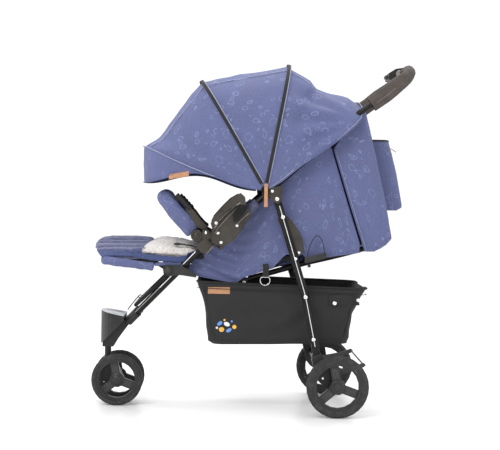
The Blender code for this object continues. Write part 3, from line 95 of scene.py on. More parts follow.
# Basket, leg rest and bumper
BASKET_LEVELS = (
    # height at the front, height at the rear, front x, rear x, half width
    (0.197, 0.204, -0.112, 0.284, 0.162),
    (0.206, 0.222, -0.125, 0.292, 0.172),
    (0.300, 0.290, -0.142, 0.302, 0.186),
    (0.380, 0.366, -0.158, 0.336, 0.190),
)
LEG_REST_NOSE = (
    # height, front of the cushion at the middle plane
    (0.4421, -0.4345), (0.4512, -0.4437), (0.4637, -0.4565), (0.4764, -0.4613), (0.4880, -0.4595),
    (0.4970, -0.4530),
    (0.5040, -0.4400), (0.5100, -0.4180),
)
NOSE_FROM = -0.365
BUMPER_PATH = (
    (-0.162, 0.1875, 0.514), (-0.196, 0.1875, 0.550), (-0.228, 0.183, 0.586),
    (-0.247, 0.160, 0.609), (-0.256, 0.120, 0.620), (-0.258, 0.060, 0.622),
)

# Pivots and hubs, as x and z
BUMPER_PIVOT = (-0.162, 0.514)
LEG_REST_PIVOT = (-0.243, 0.411)
FRONT_HUB = (-0.394, 0.076)
REAR_HUB = (0.249, 0.089)

# Outer faces, as distances from the middle plane, and how deep a rivet's head is let in
HOUSING_OUT = 0.2403
PIVOT_OUT = 0.2533
RAIL_OUT = 0.189
BRACKET_OUT = 0.214
LET_IN = 0.0002

# The photo's camera: turns in radians, focal length and width in pixels, film in millimetres
PHOTO_TURNS = (0.0255, -0.0198, 0.0174)
PHOTO_EYE = Vector((-0.106, -4.0255, 0.6227))
PHOTO_FOCAL = 1330.6
PHOTO_WIDTH = 500.0
FILM_WIDTH = 36.0
LIT_POINT = (0, 0, 0.5)
ROOM_LIGHT = 1.08


# Camera and light

def aim(place, right, up, back):
    return Matrix((
        (right.x, up.x, back.x, place.x),
        (right.y, up.y, back.y, place.y),
        (right.z, up.z, back.z, place.z),
        (0, 0, 0, 1),
    ))


def camera():
    """The place, turn and lens that the photo was taken with."""
    yaw, pitch, roll = PHOTO_TURNS
    ahead = Vector((math.sin(yaw) * math.cos(pitch), math.cos(yaw) * math.cos(pitch), math.sin(pitch)))
    level = Vector((math.cos(yaw), -math.sin(yaw), 0))
    top = level.cross(ahead)
    right = level * math.cos(roll) + top * math.sin(roll)
    up = top * math.cos(roll) - level * math.sin(roll)
    data = bpy.data.cameras.new("photo_camera")
    data.sensor_width = FILM_WIDTH
    data.lens = PHOTO_FOCAL * FILM_WIDTH / PHOTO_WIDTH
    data.clip_end = 60.0
    eye = bpy.data.objects.new("photo_camera", data)
    bpy.context.collection.objects.link(eye)
    eye.matrix_world = aim(PHOTO_EYE, right, up, -ahead)
    bpy.context.scene.camera = eye


def soft_light(name, place, target, size, power, colour=(1, 1, 1)):
    data = bpy.data.lights.new(name, "AREA")
    data.shape = "RECTANGLE"
    data.size, data.size_y = size
    data.energy = power
    data.color = colour
    lamp = bpy.data.objects.new(name, data)
    bpy.context.collection.objects.link(lamp)
    back = (Vector(place) - Vector(target)).normalized()
    right = Vector((0, 0, 1)).cross(back).normalized()
    lamp.matrix_world = aim(Vector(place), right, back.cross(right), back)


def studio():
    """White room, five soft lamps and a plain pale floor."""
    soft_light("key_light", (-1.6, -2.6, 2.6), LIT_POINT, (1.8, 1.4), 30)
    soft_light("strip_light", (-0.9, -2.3, 2.7), LIT_POINT, (2.0, 0.10), 24)
    soft_light("fill_light", (2.4, -2.4, 1.5), LIT_POINT, (0.5, 1.6), 14)
    soft_light("top_light", (0.1, 0.6, 3.0), LIT_POINT, (2.4, 2.0), 40)
    soft_light("front_light", (-3.0, 0.3, 1.2), LIT_POINT, (0.28, 1.9), 13)
    bpy.context.scene.view_settings.view_transform = "Standard"
    world = bpy.data.worlds.new("studio_air")
    bpy.context.scene.world = world
    world.use_nodes = True
    air = world.node_tree.nodes["Background"]
    air.inputs["Color"].default_value = (1, 1, 1, 1)
    air.inputs["Strength"].default_value = ROOM_LIGHT
    bpy.ops.mesh.primitive_plane_add(size=30, location=(0, 0, -0.0005))
    floor = bpy.context.object
    floor.name = "floor"
    floor.data.transform(floor.matrix_world)
    floor.matrix_world = Matrix.Identity(4)
    floor.data.materials.append(floor_finish())


# Materials

def finish(name, colour, roughness, metallic=0.0, **more):
    made = bpy.data.materials.new(name)
    made.use_nodes = True
    shader = made.node_tree.nodes["Principled BSDF"]
    shader.inputs["Base Color"].default_value = (*colour, 1)
    shader.inputs["Roughness"].default_value = roughness
    shader.inputs["Metallic"].default_value = metallic
    for socket, value in more.items():
        shader.inputs[socket.replace("_", " ").title()].default_value = value
    return made, made.node_tree, shader


def node(tree, kind, settings=None, **inputs):
    """A shader node with its settings and input values; an output given as a value is linked."""
    made = tree.nodes.new("ShaderNode" + kind)
    for key, value in (settings or {}).items():
        setattr(made, key, value)
    for key, value in inputs.items():
        spot = int(key[1:]) if key[1:].isdigit() else key.replace("_", " ")
        if isinstance(value, bpy.types.NodeSocket):
            tree.links.new(value, made.inputs[spot])
        else:
            made.inputs[spot].default_value = value
    return made


def place_on(tree, uv=False):
    spot = node(tree, "TexCoord")
    return spot.outputs["UV" if uv else "Object"]


def grain(tree, at, scale, detail=3.0, rough=0.55):
    return node(tree, "TexNoise", Vector=at, Scale=scale, Detail=detail, Roughness=rough).outputs["Fac"]


def spread(tree, value, low, high, to_low, to_high):
    made = node(tree, "MapRange", Value=value, From_Min=low, From_Max=high, To_Min=to_low, To_Max=to_high)
    return made.outputs["Result"]


def mixed(tree, share, first, second):
    made = node(tree, "Mix", {"data_type": "RGBA"}, _0=share)
    for spot, value in ((6, first), (7, second)):
        if isinstance(value, bpy.types.NodeSocket):
            tree.links.new(value, made.inputs[spot])
        else:
            made.inputs[spot].default_value = (*value, 1)
    return made.outputs[2]


def sums(tree, way, first, second):
    return node(tree, "Math", {"operation": way}, _0=first, _1=second).outputs[0]


def tinted(tree, shader, value, low, high, first, second, most=1):
    """Colour that turns from the first to the second as the value goes from low to high."""
    tree.links.new(mixed(tree, spread(tree, value, low, high, 0, most), first, second),
                   shader.inputs["Base Color"])


def uneven(tree, shader, value, low, high, least, most):
    """Roughness that follows a value."""
    tree.links.new(spread(tree, value, low, high, least, most), shader.inputs["Roughness"])


def raised(tree, shader, height, strength, distance):
    bump = node(tree, "Bump", Height=height, Strength=strength, Distance=distance)
    tree.links.new(bump.outputs["Normal"], shader.inputs["Normal"])


def gloss_paint(name, colour, roughness=0.16):
    """Sprayed enamel: faint orange peel and slightly uneven gloss."""
    made, tree, shader = finish(name, colour, roughness)
    shader.inputs["Specular IOR Level"].default_value = 0.14
    at = place_on(tree)
    cloudy = grain(tree, at, 26, 4)
    tint = tuple(min(1, c * 1.6 + 0.004) for c in colour)
    tinted(tree, shader, cloudy, 0.35, 0.75, colour, tint)
    uneven(tree, shader, cloudy, 0.3, 0.7, roughness - 0.06, roughness + 0.1)
    raised(tree, shader, grain(tree, at, 900, 2), 0.12, 0.0004)
    return made


def moulded(name, colour, roughness=0.5, scale=1400, depth=0.25):
    """Moulded plastic with a fine spark-eroded grain."""
    made, tree, shader = finish(name, colour, roughness)
    shader.inputs["Specular IOR Level"].default_value = 0.26
    at = place_on(tree)
    cloudy = grain(tree, at, 18, 3)
    tint = tuple(min(1, c * 1.7 + 0.01) for c in colour)
    tinted(tree, shader, cloudy, 0.3, 0.75, colour, tint)
    uneven(tree, shader, cloudy, 0.3, 0.7, roughness - 0.08, roughness + 0.1)
    raised(tree, shader, grain(tree, at, scale, 2), depth, 0.0005)
    return made


def tyre_rubber(name, axle):
    """Foam rubber tyre, dusty, with fine cross ribs on its tread; axle is the point that it turns about."""
    made, tree, shader = finish(name, (0.030, 0.030, 0.030), 0.78)
    shader.inputs["Specular IOR Level"].default_value = 0.25
    at = node(tree, "Mapping", {"vector_type": "POINT"}, Vector=place_on(tree),
              Location=tuple(-c for c in axle))
    ring = node(tree, "SeparateXYZ", Vector=at.outputs["Vector"])
    turn = sums(tree, "ARCTAN2", ring.outputs["Z"], ring.outputs["X"])
    ribs = sums(tree, "SINE", sums(tree, "MULTIPLY", turn, 84.0), 0.0)
    dust = grain(tree, at.outputs["Vector"], 60, 5, 0.65)
    tinted(tree, shader, dust, 0.45, 0.8, (0.026, 0.026, 0.026), (0.085, 0.083, 0.08), 0.6)
    uneven(tree, shader, dust, 0.3, 0.8, 0.68, 0.92)
    raised(tree, shader,
           sums(tree, "ADD", sums(tree, "MULTIPLY", ribs, 0.5), grain(tree, at.outputs["Vector"], 700)), 0.5,
           0.0008)
    return made


def foam(name, colour):
    """Matt closed-cell foam."""
    made, tree, shader = finish(name, colour, 0.88)
    at = place_on(tree)
    cells = node(tree, "TexVoronoi", Vector=at, Scale=1100).outputs["Distance"]
    cloudy = grain(tree, at, 40, 4)
    tint = tuple(c * 0.62 for c in colour)
    tinted(tree, shader, cloudy, 0.3, 0.7, colour, tint)
    raised(tree, shader, sums(tree, "ADD", cells, cloudy), 0.5, 0.0008)
    return made


def bare_metal(name, colour, roughness):
    """Plated metal, unevenly rubbed."""
    made, tree, shader = finish(name, colour, roughness, 1.0)
    at = place_on(tree)
    worn = grain(tree, at, 120, 5)
    uneven(tree, shader, worn, 0.3, 0.8, roughness * 0.7, roughness * 1.8)
    raised(tree, shader, grain(tree, at, 1500, 2), 0.1, 0.0003)
    return made


def threads(tree, at, pitch):
    """Plain weave: warp and weft ridges over each other, pitch metres apart."""
    turn = math.pi / pitch
    lines = node(tree, "SeparateXYZ", Vector=at)
    warp = sums(tree, "SINE", sums(tree, "MULTIPLY", lines.outputs["X"], turn), 0.0)
    weft = sums(tree, "SINE", sums(tree, "MULTIPLY", lines.outputs["Y"], turn), 0.0)
    return sums(tree, "MULTIPLY", sums(tree, "MULTIPLY", warp, warp), sums(tree, "MULTIPLY", weft, weft))


def loops(tree, at, scale, radius, line):
    """Thin outlines round about half of the cells of a scattered pattern."""
    cell = node(tree, "TexVoronoi", Vector=at, Scale=scale, Randomness=0.9)
    edge = sums(tree, "ABSOLUTE", sums(tree, "SUBTRACT", cell.outputs["Distance"], radius), 0.0)
    pick = node(tree, "SeparateColor", Color=cell.outputs["Color"]).outputs[0]
    kept = sums(tree, "GREATER_THAN", pick, 0.45)
    return sums(tree, "MULTIPLY", spread(tree, edge, line * 0.4, line, 1.0, 0.0), kept)


def woven(name, colour, pale, roughness=0.72, pitch=0.0011, doodles=0.0, sheen=0.35, uv=True, crease=0.35,
          shine=0.5):
    """Woven cloth with heathered threads, soft creases and, where asked, a faint print of loose loops."""
    made, tree, shader = finish(name, colour, roughness)
    shader.inputs["Sheen Weight"].default_value = sheen
    shader.inputs["Sheen Roughness"].default_value = 0.45
    shader.inputs["Sheen Tint"].default_value = (*pale, 1)
    shader.inputs["Specular IOR Level"].default_value = shine
    at = place_on(tree, uv)
    weave = threads(tree, at, pitch)
    cloudy = grain(tree, at, 7, 4, 0.6)
    heather = node(tree, "TexNoise", Vector=node(tree, "Mapping", Vector=at, Scale=(1, 9, 1)).outputs[0],
                   Scale=160.0, Detail=2.0).outputs["Fac"]
    dark = tuple(c * 0.72 for c in colour)
    base = mixed(tree, spread(tree, cloudy, 0.3, 0.75, 0, 1), dark, colour)
    base = mixed(tree, spread(tree, heather, 0.4, 0.75, 0, 0.35), base, pale)
    if doodles:
        wander = node(tree, "TexNoise", Vector=at, Scale=26.0, Detail=1.0).outputs["Color"]
        bent = node(tree, "VectorMath", {"operation": "MULTIPLY_ADD"}, _0=wander, _1=(0.030, 0.030, 0.0),
                    _2=at).outputs[0]
        mark = sums(tree, "MAXIMUM", loops(tree, bent, 29.0, 0.30, 0.034),
                    loops(tree, bent, 44.0, 0.27, 0.050))
        base = mixed(tree, sums(tree, "MULTIPLY", mark, doodles), base, pale)
    tree.links.new(base, shader.inputs["Base Color"])
    uneven(tree, shader, cloudy, 0.3, 0.8, roughness - 0.1, roughness + 0.12)
    soft = grain(tree, at, 22, 5, 0.6)
    height = sums(tree, "ADD", sums(tree, "MULTIPLY", weave, 0.12), sums(tree, "MULTIPLY", soft, crease))
    raised(tree, shader, height, 0.55, 0.006)
    return made


def fleece(name, colour):
    """Curly pile, with painted shade darkening it between its tufts."""
    made, tree, shader = finish(name, colour, 0.95)
    shader.inputs["Sheen Weight"].default_value = 0.7
    shader.inputs["Sheen Roughness"].default_value = 0.6
    at = place_on(tree)
    tufts = node(tree, "TexVoronoi", Vector=at, Scale=170.0).outputs["Distance"]
    curls = grain(tree, at, 320, 6, 0.7)
    # Painted shade: darker colour between the tufts.
    shade = tuple(c * 0.74 for c in colour)
    tree.links.new(mixed(tree, spread(tree, sums(tree, "ADD", tufts, curls), 0.4, 1.2, 0, 1), colour, shade),
                   shader.inputs["Base Color"])
    raised(tree, shader, sums(tree, "ADD", tufts, sums(tree, "MULTIPLY", curls, 0.8)), 0.9, 0.004)
    return made


def leather(name, colour):
    """Pored imitation leather."""
    made, tree, shader = finish(name, colour, 0.52)
    at = place_on(tree)
    pores = node(tree, "TexVoronoi", Vector=at, Scale=1500.0).outputs["Distance"]
    cloudy = grain(tree, at, 90, 4)
    tint = tuple(c * 0.7 for c in colour)
    tinted(tree, shader, cloudy, 0.3, 0.7, colour, tint)
    raised(tree, shader, sums(tree, "ADD", pores, cloudy), 0.35, 0.0006)
    return made


def floor_finish():
    made, tree, shader = finish("pale_floor", (0.95, 0.95, 0.955), 0.3)
    at = place_on(tree)
    uneven(tree, shader, grain(tree, at, 1.4, 3), 0.3, 0.7, 0.3, 0.36)
    return made


BLUE = (0.074, 0.088, 0.212)
PALE_BLUE = (0.26, 0.30, 0.52)
PAINT = gloss_paint("black_gloss_paint", (0.007, 0.007, 0.007), 0.16)
HOUSING = moulded("black_brown_plastic", (0.026, 0.022, 0.018), 0.32)
PLASTIC = moulded("black_plastic", (0.013, 0.013, 0.013), 0.42)
RIM = moulded("wheel_plastic", (0.014, 0.014, 0.014), 0.3)
# Lighter plastic for painted highlights along the spokes' edges.
SPOKE_HIGHLIGHT = moulded("spoke_highlight_plastic", (0.060, 0.060, 0.060), 0.22)
# Pale plastic for painted highlights: light lines along edges, seams and ridges, the lower part of each front
# tube's highlight, and the glints of the fold mechanism's cap.
PALE_HIGHLIGHT = moulded("pale_highlight_plastic", (0.20, 0.18, 0.165), 0.28)
GREY_PLASTIC = moulded("grey_brake_plastic", (0.040, 0.040, 0.040), 0.42)
STEEL = bare_metal("plated_steel", (0.72, 0.72, 0.73), 0.2)
GRIP = foam("grip_foam", (0.072, 0.059, 0.052))
# Lighter foam that paints the highlight on each grip's ridge.
GRIP_RIDGE_HIGHLIGHT = foam("grip_ridge_highlight_foam", (0.098, 0.083, 0.074))
CLOTH = woven("printed_blue_cloth", BLUE, PALE_BLUE, doodles=0.34, sheen=0.2)
PLAIN_CLOTH = woven("plain_blue_cloth", BLUE, PALE_BLUE, crease=0.5, sheen=0.2)
PAD_CLOTH = woven("padded_blue_cloth", BLUE, PALE_BLUE, crease=0.5, sheen=0.2, uv=False)
SATIN = woven("padded_blue_satin", (0.105, 0.115, 0.215), (0.30, 0.32, 0.46), 0.36, crease=0.2, sheen=0.3,
              uv=False)
DARK_SATIN = woven("dark_blue_satin", (0.040, 0.058, 0.170), (0.12, 0.16, 0.36), 0.34, crease=0.3,
                   sheen=0.25, uv=False)
DARK_BLUE = woven("dark_blue_cloth", (0.030, 0.048, 0.150), (0.10, 0.13, 0.30), 0.7, crease=0.3, sheen=0.2)
NAVY = woven("navy_tube_sleeve", (0.028, 0.032, 0.085), (0.12, 0.14, 0.26), 0.25, crease=0.15, sheen=0.1)
BLACK_CLOTH = woven("black_bag_cloth", (0.022, 0.022, 0.023), (0.046, 0.046, 0.047), 0.62, crease=0.9,
                    sheen=0.05, shine=0.2)
WEBBING = woven("black_webbing", (0.014, 0.014, 0.014), (0.035, 0.035, 0.035), 0.68, 0.0024, uv=False,
                crease=0.1, sheen=0.05, shine=0.25)
PIPING = woven("pale_piping", (0.26, 0.28, 0.42), (0.55, 0.58, 0.75), 0.6, uv=False, crease=0.1, sheen=0.1)
THREAD = woven("pale_thread", (0.30, 0.33, 0.48), (0.6, 0.62, 0.75), 0.6, uv=False, crease=0.1, sheen=0.1)
FLEECE = fleece("cream_fleece", (0.80, 0.75, 0.715))
TAN = leather("tan_leather", (0.46, 0.225, 0.11))
PRINT_BLUE = woven("print_blue", (0.10, 0.25, 0.62), (0.22, 0.40, 0.80), 0.6, uv=False, crease=0.2, sheen=0.1)
PRINT_YELLOW = woven("print_yellow", (0.75, 0.40, 0.05), (0.90, 0.60, 0.20), 0.6, uv=False, crease=0.2,
                     sheen=0.1)
PRINT_WHITE = woven("print_white", (0.70, 0.70, 0.72), (0.90, 0.90, 0.92), 0.6, uv=False, crease=0.2,
                    sheen=0.1)
TREAD = moulded("pale_footrest_plastic", (0.40, 0.41, 0.42), 0.42, 500, 0.5)

SLOTS = {
    "frame": (PAINT, STEEL),
    "plastic": (HOUSING, PLASTIC, RIM, SPOKE_HIGHLIGHT, PALE_HIGHLIGHT, GREY_PLASTIC, TREAD),
    "grip": (GRIP, GRIP_RIDGE_HIGHLIGHT),
    "blue_cloth": (CLOTH, PLAIN_CLOTH, PAD_CLOTH, SATIN, DARK_SATIN, DARK_BLUE, NAVY, PIPING, THREAD, FLEECE),
    "black_cloth": (BLACK_CLOTH, WEBBING, PRINT_BLUE, PRINT_YELLOW, PRINT_WHITE),
    "tan_leather": (TAN,),
}


def slot_of(material):
    """The record's slot that a finish belongs to."""
    return next(slot for slot, kinds in SLOTS.items() if material in kinds)


# Finish of each CAD piece

def dress():
    """Every CAD piece that stays in view gets its own finish."""
    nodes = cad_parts
    table = {
        "front_tube_": PAINT, "front_housing": PLASTIC, "footrest_brace": PAINT, "footrest": PLASTIC,
        "fold_housing_": HOUSING, "bumper_socket_": PLASTIC, "bumper_button_": GREY_PLASTIC,
        "leg_rest_joint_": PLASTIC, "caster_fork": PLASTIC, "front_axle": STEEL, "front_rim_": RIM,
        "rear_rim_": RIM, "handle_tube": PAINT, "handle_grip_": GRIP, "fold_mechanism": PLASTIC,
        "fold_trigger": GREY_PLASTIC, "leg_pivot_housing_": HOUSING, "canopy_middle_bow": PAINT,
        "canopy_front_bow": PAINT, "zip_pull_": TAN, "rear_leg_": PAINT, "rear_axle_tube": PAINT,
        "wheel_bracket_": PLASTIC, "brake_lever": GREY_PLASTIC, "seat_rail_": PAINT, "seat_board": PLASTIC,
        "harness_buckle": PLASTIC, "buckle_button": GREY_PLASTIC, "backrest_frame": PAINT,
        "leg_rest_frame": PAINT, "bumper_bar": PAINT,
    }
    for name, piece in nodes.items():
        chosen = next((kind for start, kind in table.items() if name.startswith(start)), None)
        if "_tyre_" in name:
            low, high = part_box(name)
            chosen = tyre_rubber("rubber_" + name, (low + high) / 2)
        if chosen is None:
            continue
        piece.data.materials.clear()
        piece.data.materials.append(chosen)


# Shaping helpers

def fresh(name, verts, faces):
    data = bpy.data.meshes.new(name)
    data.from_pydata([tuple(v) for v in verts], [], faces)
    piece = bpy.data.objects.new(name, data)
    bpy.context.collection.objects.link(piece)
    return piece


@contextmanager
def reshaped(piece):
    """The mesh of a piece, open for work on single faces."""
    made = bmesh.new()
    made.from_mesh(piece.data)
    made.verts.ensure_lookup_table()
    yield made
    made.to_mesh(piece.data)
    made.free()


def end_faces(made, count, last, flip):
    """Close both ends of a tube; count is the points of a ring, last the number of the last ring."""
    for start, turned in ((0, flip), (last * count, not flip)):
        loop = [made.verts[start + j] for j in range(count)]
        made.faces.new(loop[::-1] if turned else loop)
    bmesh.ops.recalc_face_normals(made, faces=made.faces)


def lumps(x, y, z):
    """Smooth noise at a place."""
    return noise.noise(Vector((x, y, z)))


def put_away(*masters):
    for master in masters:
        bpy.data.objects.remove(master)


def only(piece):
    bpy.ops.object.select_all(action="DESELECT")
    piece.select_set(True)
    bpy.context.view_layer.objects.active = piece


def modify(piece, kind, **settings):
    """Add a modifier with these settings and apply it."""
    only(piece)
    step = piece.modifiers.new(kind.lower(), kind)
    for key, value in settings.items():
        setattr(step, key, value)
    bpy.ops.object.modifier_apply(modifier=step.name)


def finer(piece, levels, simple=False):
    modify(piece, "SUBSURF", levels=levels, render_levels=levels,
           subdivision_type="SIMPLE" if simple else "CATMULL_CLARK")


def smooth(piece, angle=40):
    only(piece)
    bpy.ops.object.shade_smooth_by_angle(angle=math.radians(angle))


def settle(piece):
    """Put a finished piece's place into its mesh."""
    only(piece)
    bpy.ops.object.transform_apply(location=True, rotation=True, scale=True)


def finished(piece, material, body, angle=40, slot=None):
    settle(piece)
    piece.data.materials.clear()
    piece.data.materials.append(material)
    smooth(piece, angle)
    if body:
        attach(piece, body)
    slot or slot_of(material)
    return piece


def lofted(name, rows, closed=False):
    """Sheet through rows of points; its UV map is in metres along and across the rows."""
    count = len(rows[0])
    verts = [p for row in rows for p in row]
    faces = []
    last = count if closed else count - 1
    for i in range(len(rows) - 1):
        for j in range(last):
            k = (j + 1) % count
            faces.append((i * count + j, i * count + k, (i + 1) * count + k, (i + 1) * count + j))
    piece = fresh(name, verts, faces)
    across = [0.0]
    middle = rows[len(rows) // 2]
    for j in range(1, count + 1):
        across.append(across[-1] + (Vector(middle[j % count]) - Vector(middle[j - 1])).length)
    along = [0.0]
    for i in range(1, len(rows)):
        steps = [(Vector(rows[i][j]) - Vector(rows[i - 1][j])).length for j in range(count)]
        along.append(along[-1] + sum(steps) / count)
    layer = piece.data.uv_layers.new(name="cut")
    for face in piece.data.polygons:
        for corner, vertex in zip(face.loop_indices, face.vertices):
            i, j = divmod(vertex, count)
            if closed and j == 0 and any(v % count == count - 1 for v in face.vertices):
                j = count
            layer.data[corner].uv = (across[j], along[i])
    return piece


def move_points(piece, shift):
    """Move each point of a mesh by what shift(place, normal) returns."""
    data = piece.data
    normals = [n.vector.copy() for n in data.vertex_normals]
    for vertex, normal in zip(data.vertices, normals):
        vertex.co += shift(vertex.co.copy(), normal)
    data.update()


def face_area(piece):
    return sum(face.area for face in piece.data.polygons)


def cloth_sheet(piece, material, body, thickness=0.0012, node_name=None, edge=1.0):
    """Give a lofted sheet its thickness and finish."""
    area = face_area(piece)
    uv = np.empty(len(piece.data.loops) * 2)
    piece.data.uv_layers[0].data.foreach_get("uv", uv)
    spans = uv.reshape(-1, 2).max(0) - uv.reshape(-1, 2).min(0)
    width, length = float(spans[0]), float(spans[1])
    if area > width * length:
        length = area / width
    modify(piece, "SOLIDIFY", thickness=thickness, offset=-1.0 if edge > 0 else 1.0)
    finished(piece, material, body, 60)
    if node_name:
        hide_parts(node_name)
    return piece


def smooth_line(points, count):
    """Even points along a smooth curve through the given ones."""
    knots = [Vector(p) for p in points]
    ends = [knots[0] * 2 - knots[1]] + knots + [knots[-1] * 2 - knots[-2]]
    fine = []
    for i in range(1, len(ends) - 2):
        a, b, c, d = ends[i - 1:i + 3]
        for k in range(12):
            t = k / 12
            fine.append(0.5 * ((b * 2) + (c - a) * t + (a * 2 - b * 5 + c * 4 - d) * t * t
                               + (b * 3 - a - c * 3 + d) * t ** 3))
    fine.append(knots[-1])
    lengths = [0.0]
    for p, q in zip(fine, fine[1:]):
        lengths.append(lengths[-1] + (q - p).length)
    out = []
    for i in range(count):
        want = lengths[-1] * i / (count - 1)
        k = max(0, min(len(fine) - 2, int(np.searchsorted(lengths, want)) - 1))
        span = max(1e-9, lengths[k + 1] - lengths[k])
        out.append(fine[k].lerp(fine[k + 1], (want - lengths[k]) / span))
    return out


def ways_along(points):
    out = []
    for i in range(len(points)):
        out.append((points[min(i + 1, len(points) - 1)] - points[max(i - 1, 0)]).normalized())
    return out


def swept(name, points, outline, across=Vector((0, 1, 0))):
    """Solid along a line; outline(i) gives its ring as pairs of along-across and out from it."""
    rings = []
    for i, (spot, way) in enumerate(zip(points, ways_along(points))):
        side = across[i] if isinstance(across, list) else across
        side = (side - way * side.dot(way)).normalized()
        out = way.cross(side).normalized()
        rings.append([spot + side * a + out * b for a, b in outline(i)])
    piece = lofted(name, rings, closed=True)
    with reshaped(piece) as made:
        end_faces(made, len(rings[0]), len(rings) - 1, True)
        if made.calc_volume(signed=True) < 0:
            bmesh.ops.reverse_faces(made, faces=made.faces)
    return piece


def oval(half_width, half_height, count=12, power=2.0):
    out = []
    for i in range(count):
        c, s = math.cos(math.tau * i / count), math.sin(math.tau * i / count)
        out.append((half_width * math.copysign(abs(c) ** (2 / power), c),
                    half_height * math.copysign(abs(s) ** (2 / power), s)))
    return out


def cordlike(name, points, radius, material, body, count=8, slot=None):
    """Thin round trim, such as piping, along a line."""
    ring = oval(radius, radius, count)
    across = Vector((0, 1, 0))
    if abs((points[-1] - points[0]).normalized().y) > 0.8 and len(points) < 4:
        across = Vector((0, 0, 1))
    piece = swept(name, points, lambda i: ring, across)
    return finished(piece, material, body, 80, slot)


def strap(name, points, width, thickness, material, body, across=Vector((0, 1, 0))):
    """Flat webbing along a line."""
    ring = oval(width / 2, thickness / 2, 12, 5)
    piece = swept(name, points, lambda i: ring, across)
    return finished(piece, material, body, 50)


def stuffed_tube(name, path, ring, material, body, wrinkle=None, across=Vector((0, 1, 0))):
    """Round or oval wadded piece along a line; wrinkle is what move_points() takes."""
    piece = swept(name, path, ring, across)
    finer(piece, 1)
    if wrinkle:
        move_points(piece, wrinkle)
    finished(piece, material, body, 60)


def surfaces(*names):
    """Search tree over the finished pieces or CAD pieces of these names, in place."""
    verts, faces = [], []
    for name in names:
        data = bpy.data.objects[name].data
        start = len(verts)
        verts += [v.co.copy() for v in data.vertices]
        faces += [tuple(start + k for k in face.vertices) for face in data.polygons]
    return BVHTree.FromPolygons(verts, faces)


def outer_face(tree, x, z, side, otherwise):
    hit = tree.ray_cast(Vector((x, side * 1.0, z)), Vector((0, -side, 0)), 0.99)[0]
    return hit.y if hit else side * otherwise


# Canopy

def canopy_reach(angle):
    for (a, reach_a), (b, reach_b) in zip(CANOPY_REACH, CANOPY_REACH[1:]):
        if angle <= b:
            break
    from_a = math.sin(math.radians(angle - a))
    to_b = math.sin(math.radians(b - angle))
    return reach_a * reach_b * math.sin(math.radians(b - a)) / (reach_a * from_a + reach_b * to_b)


def canopy_way(angle, reach):
    """Place in the middle plane at this angle round the pivot and this far from it."""
    way = math.radians(angle)
    return Vector((CANOPY_AXIS.x + reach * math.cos(way), 0, CANOPY_AXIS.z + reach * math.sin(way)))


def canopy_spot(angle, turn, lift=0.0):
    """Place on the cloth: angle round the pivot, turn from 0 at the left side to pi at the right."""
    c, s = math.cos(turn), math.sin(turn)
    y = -(CANOPY_HALF_WIDTH + lift) * math.copysign(abs(c) ** (2 / CANOPY_POWER), c)
    r = (canopy_reach(angle) + lift) * s ** (2 / CANOPY_POWER)
    way = math.radians(angle)
    return Vector((CANOPY_AXIS.x + r * math.cos(way), y, CANOPY_AXIS.z + r * math.sin(way)))


def turn_at(share):
    """Turn at which the cloth is this share of its reach away from the pivot."""
    return math.asin(share ** (CANOPY_POWER / 2))


def evened(points, count):
    lengths = [0.0]
    for p, q in zip(points, points[1:]):
        lengths.append(lengths[-1] + (q - p).length)
    out = []
    k = 0
    for i in range(count):
        want = lengths[-1] * i / (count - 1)
        while k < len(points) - 2 and lengths[k + 1] < want:
            k += 1
        span = max(1e-9, lengths[k + 1] - lengths[k])
        out.append(points[k].lerp(points[k + 1], (want - lengths[k]) / span))
    return out


def canopy_row(angle, count, lift=0.0):
    first = math.asin((CANOPY_ROOT / canopy_reach(angle)) ** (CANOPY_POWER / 2))
    arch = [canopy_spot(angle, first + (math.pi - 2 * first) * i / 240, lift) for i in range(241)]
    row = evened(arch, count)
    share = min(1.0, max(0.0, (66 - angle) / (66 - REAR_EDGE_ANGLE)))
    share = share * share * (3 - 2 * share)
    if share > 0:
        half = []
        drawn = canopy_reach(angle) / canopy_reach(REAR_EDGE_ANGLE)
        for at, reach, y in REAR_HEM:
            way = math.radians(at + angle - REAR_EDGE_ANGLE)
            reach *= drawn
            half.append(Vector((CANOPY_AXIS.x + reach * math.cos(way), -y - lift,
                                CANOPY_AXIS.z + reach * math.sin(way))))
        hem = half + [Vector((p.x, -p.y, p.z)) for p in half[-2::-1]]
        hem = evened(smooth_line(hem, 200), count)
        row = [p.lerp(q, share) for p, q in zip(row, hem)]
    return row


def front_hem_lift(share):
    """How many degrees the front cloth's hem is drawn up at a share of the reach."""
    return 11.0 * math.sin(math.pi * min(1.0, share ** 0.9)) ** 2


def canopy_rows(first, last, count, across):
    rows = []
    knots = [a for a, _ in CANOPY_REACH if first < a < last]
    angles = sorted(set([first + (last - first) * i / (count - 1) for i in range(count)] + knots))
    for angle in angles:
        row = canopy_row(angle, across)
        if last > FRONT_BOW_ANGLE + 1:
            part = (angle - first) / (last - first)
            turned = []
            for p in row:
                out = Vector((p.x - CANOPY_AXIS.x, 0, p.z - CANOPY_AXIS.z))
                share = out.length / canopy_reach(angle)
                back = math.radians(front_hem_lift(share) * part ** 2)
                c, s = math.cos(back), math.sin(back)
                turned.append(Vector((CANOPY_AXIS.x + out.x * c + out.z * s, p.y,
                                      CANOPY_AXIS.z - out.x * s + out.z * c)))
            row = turned
        rows.append(row)
    return rows


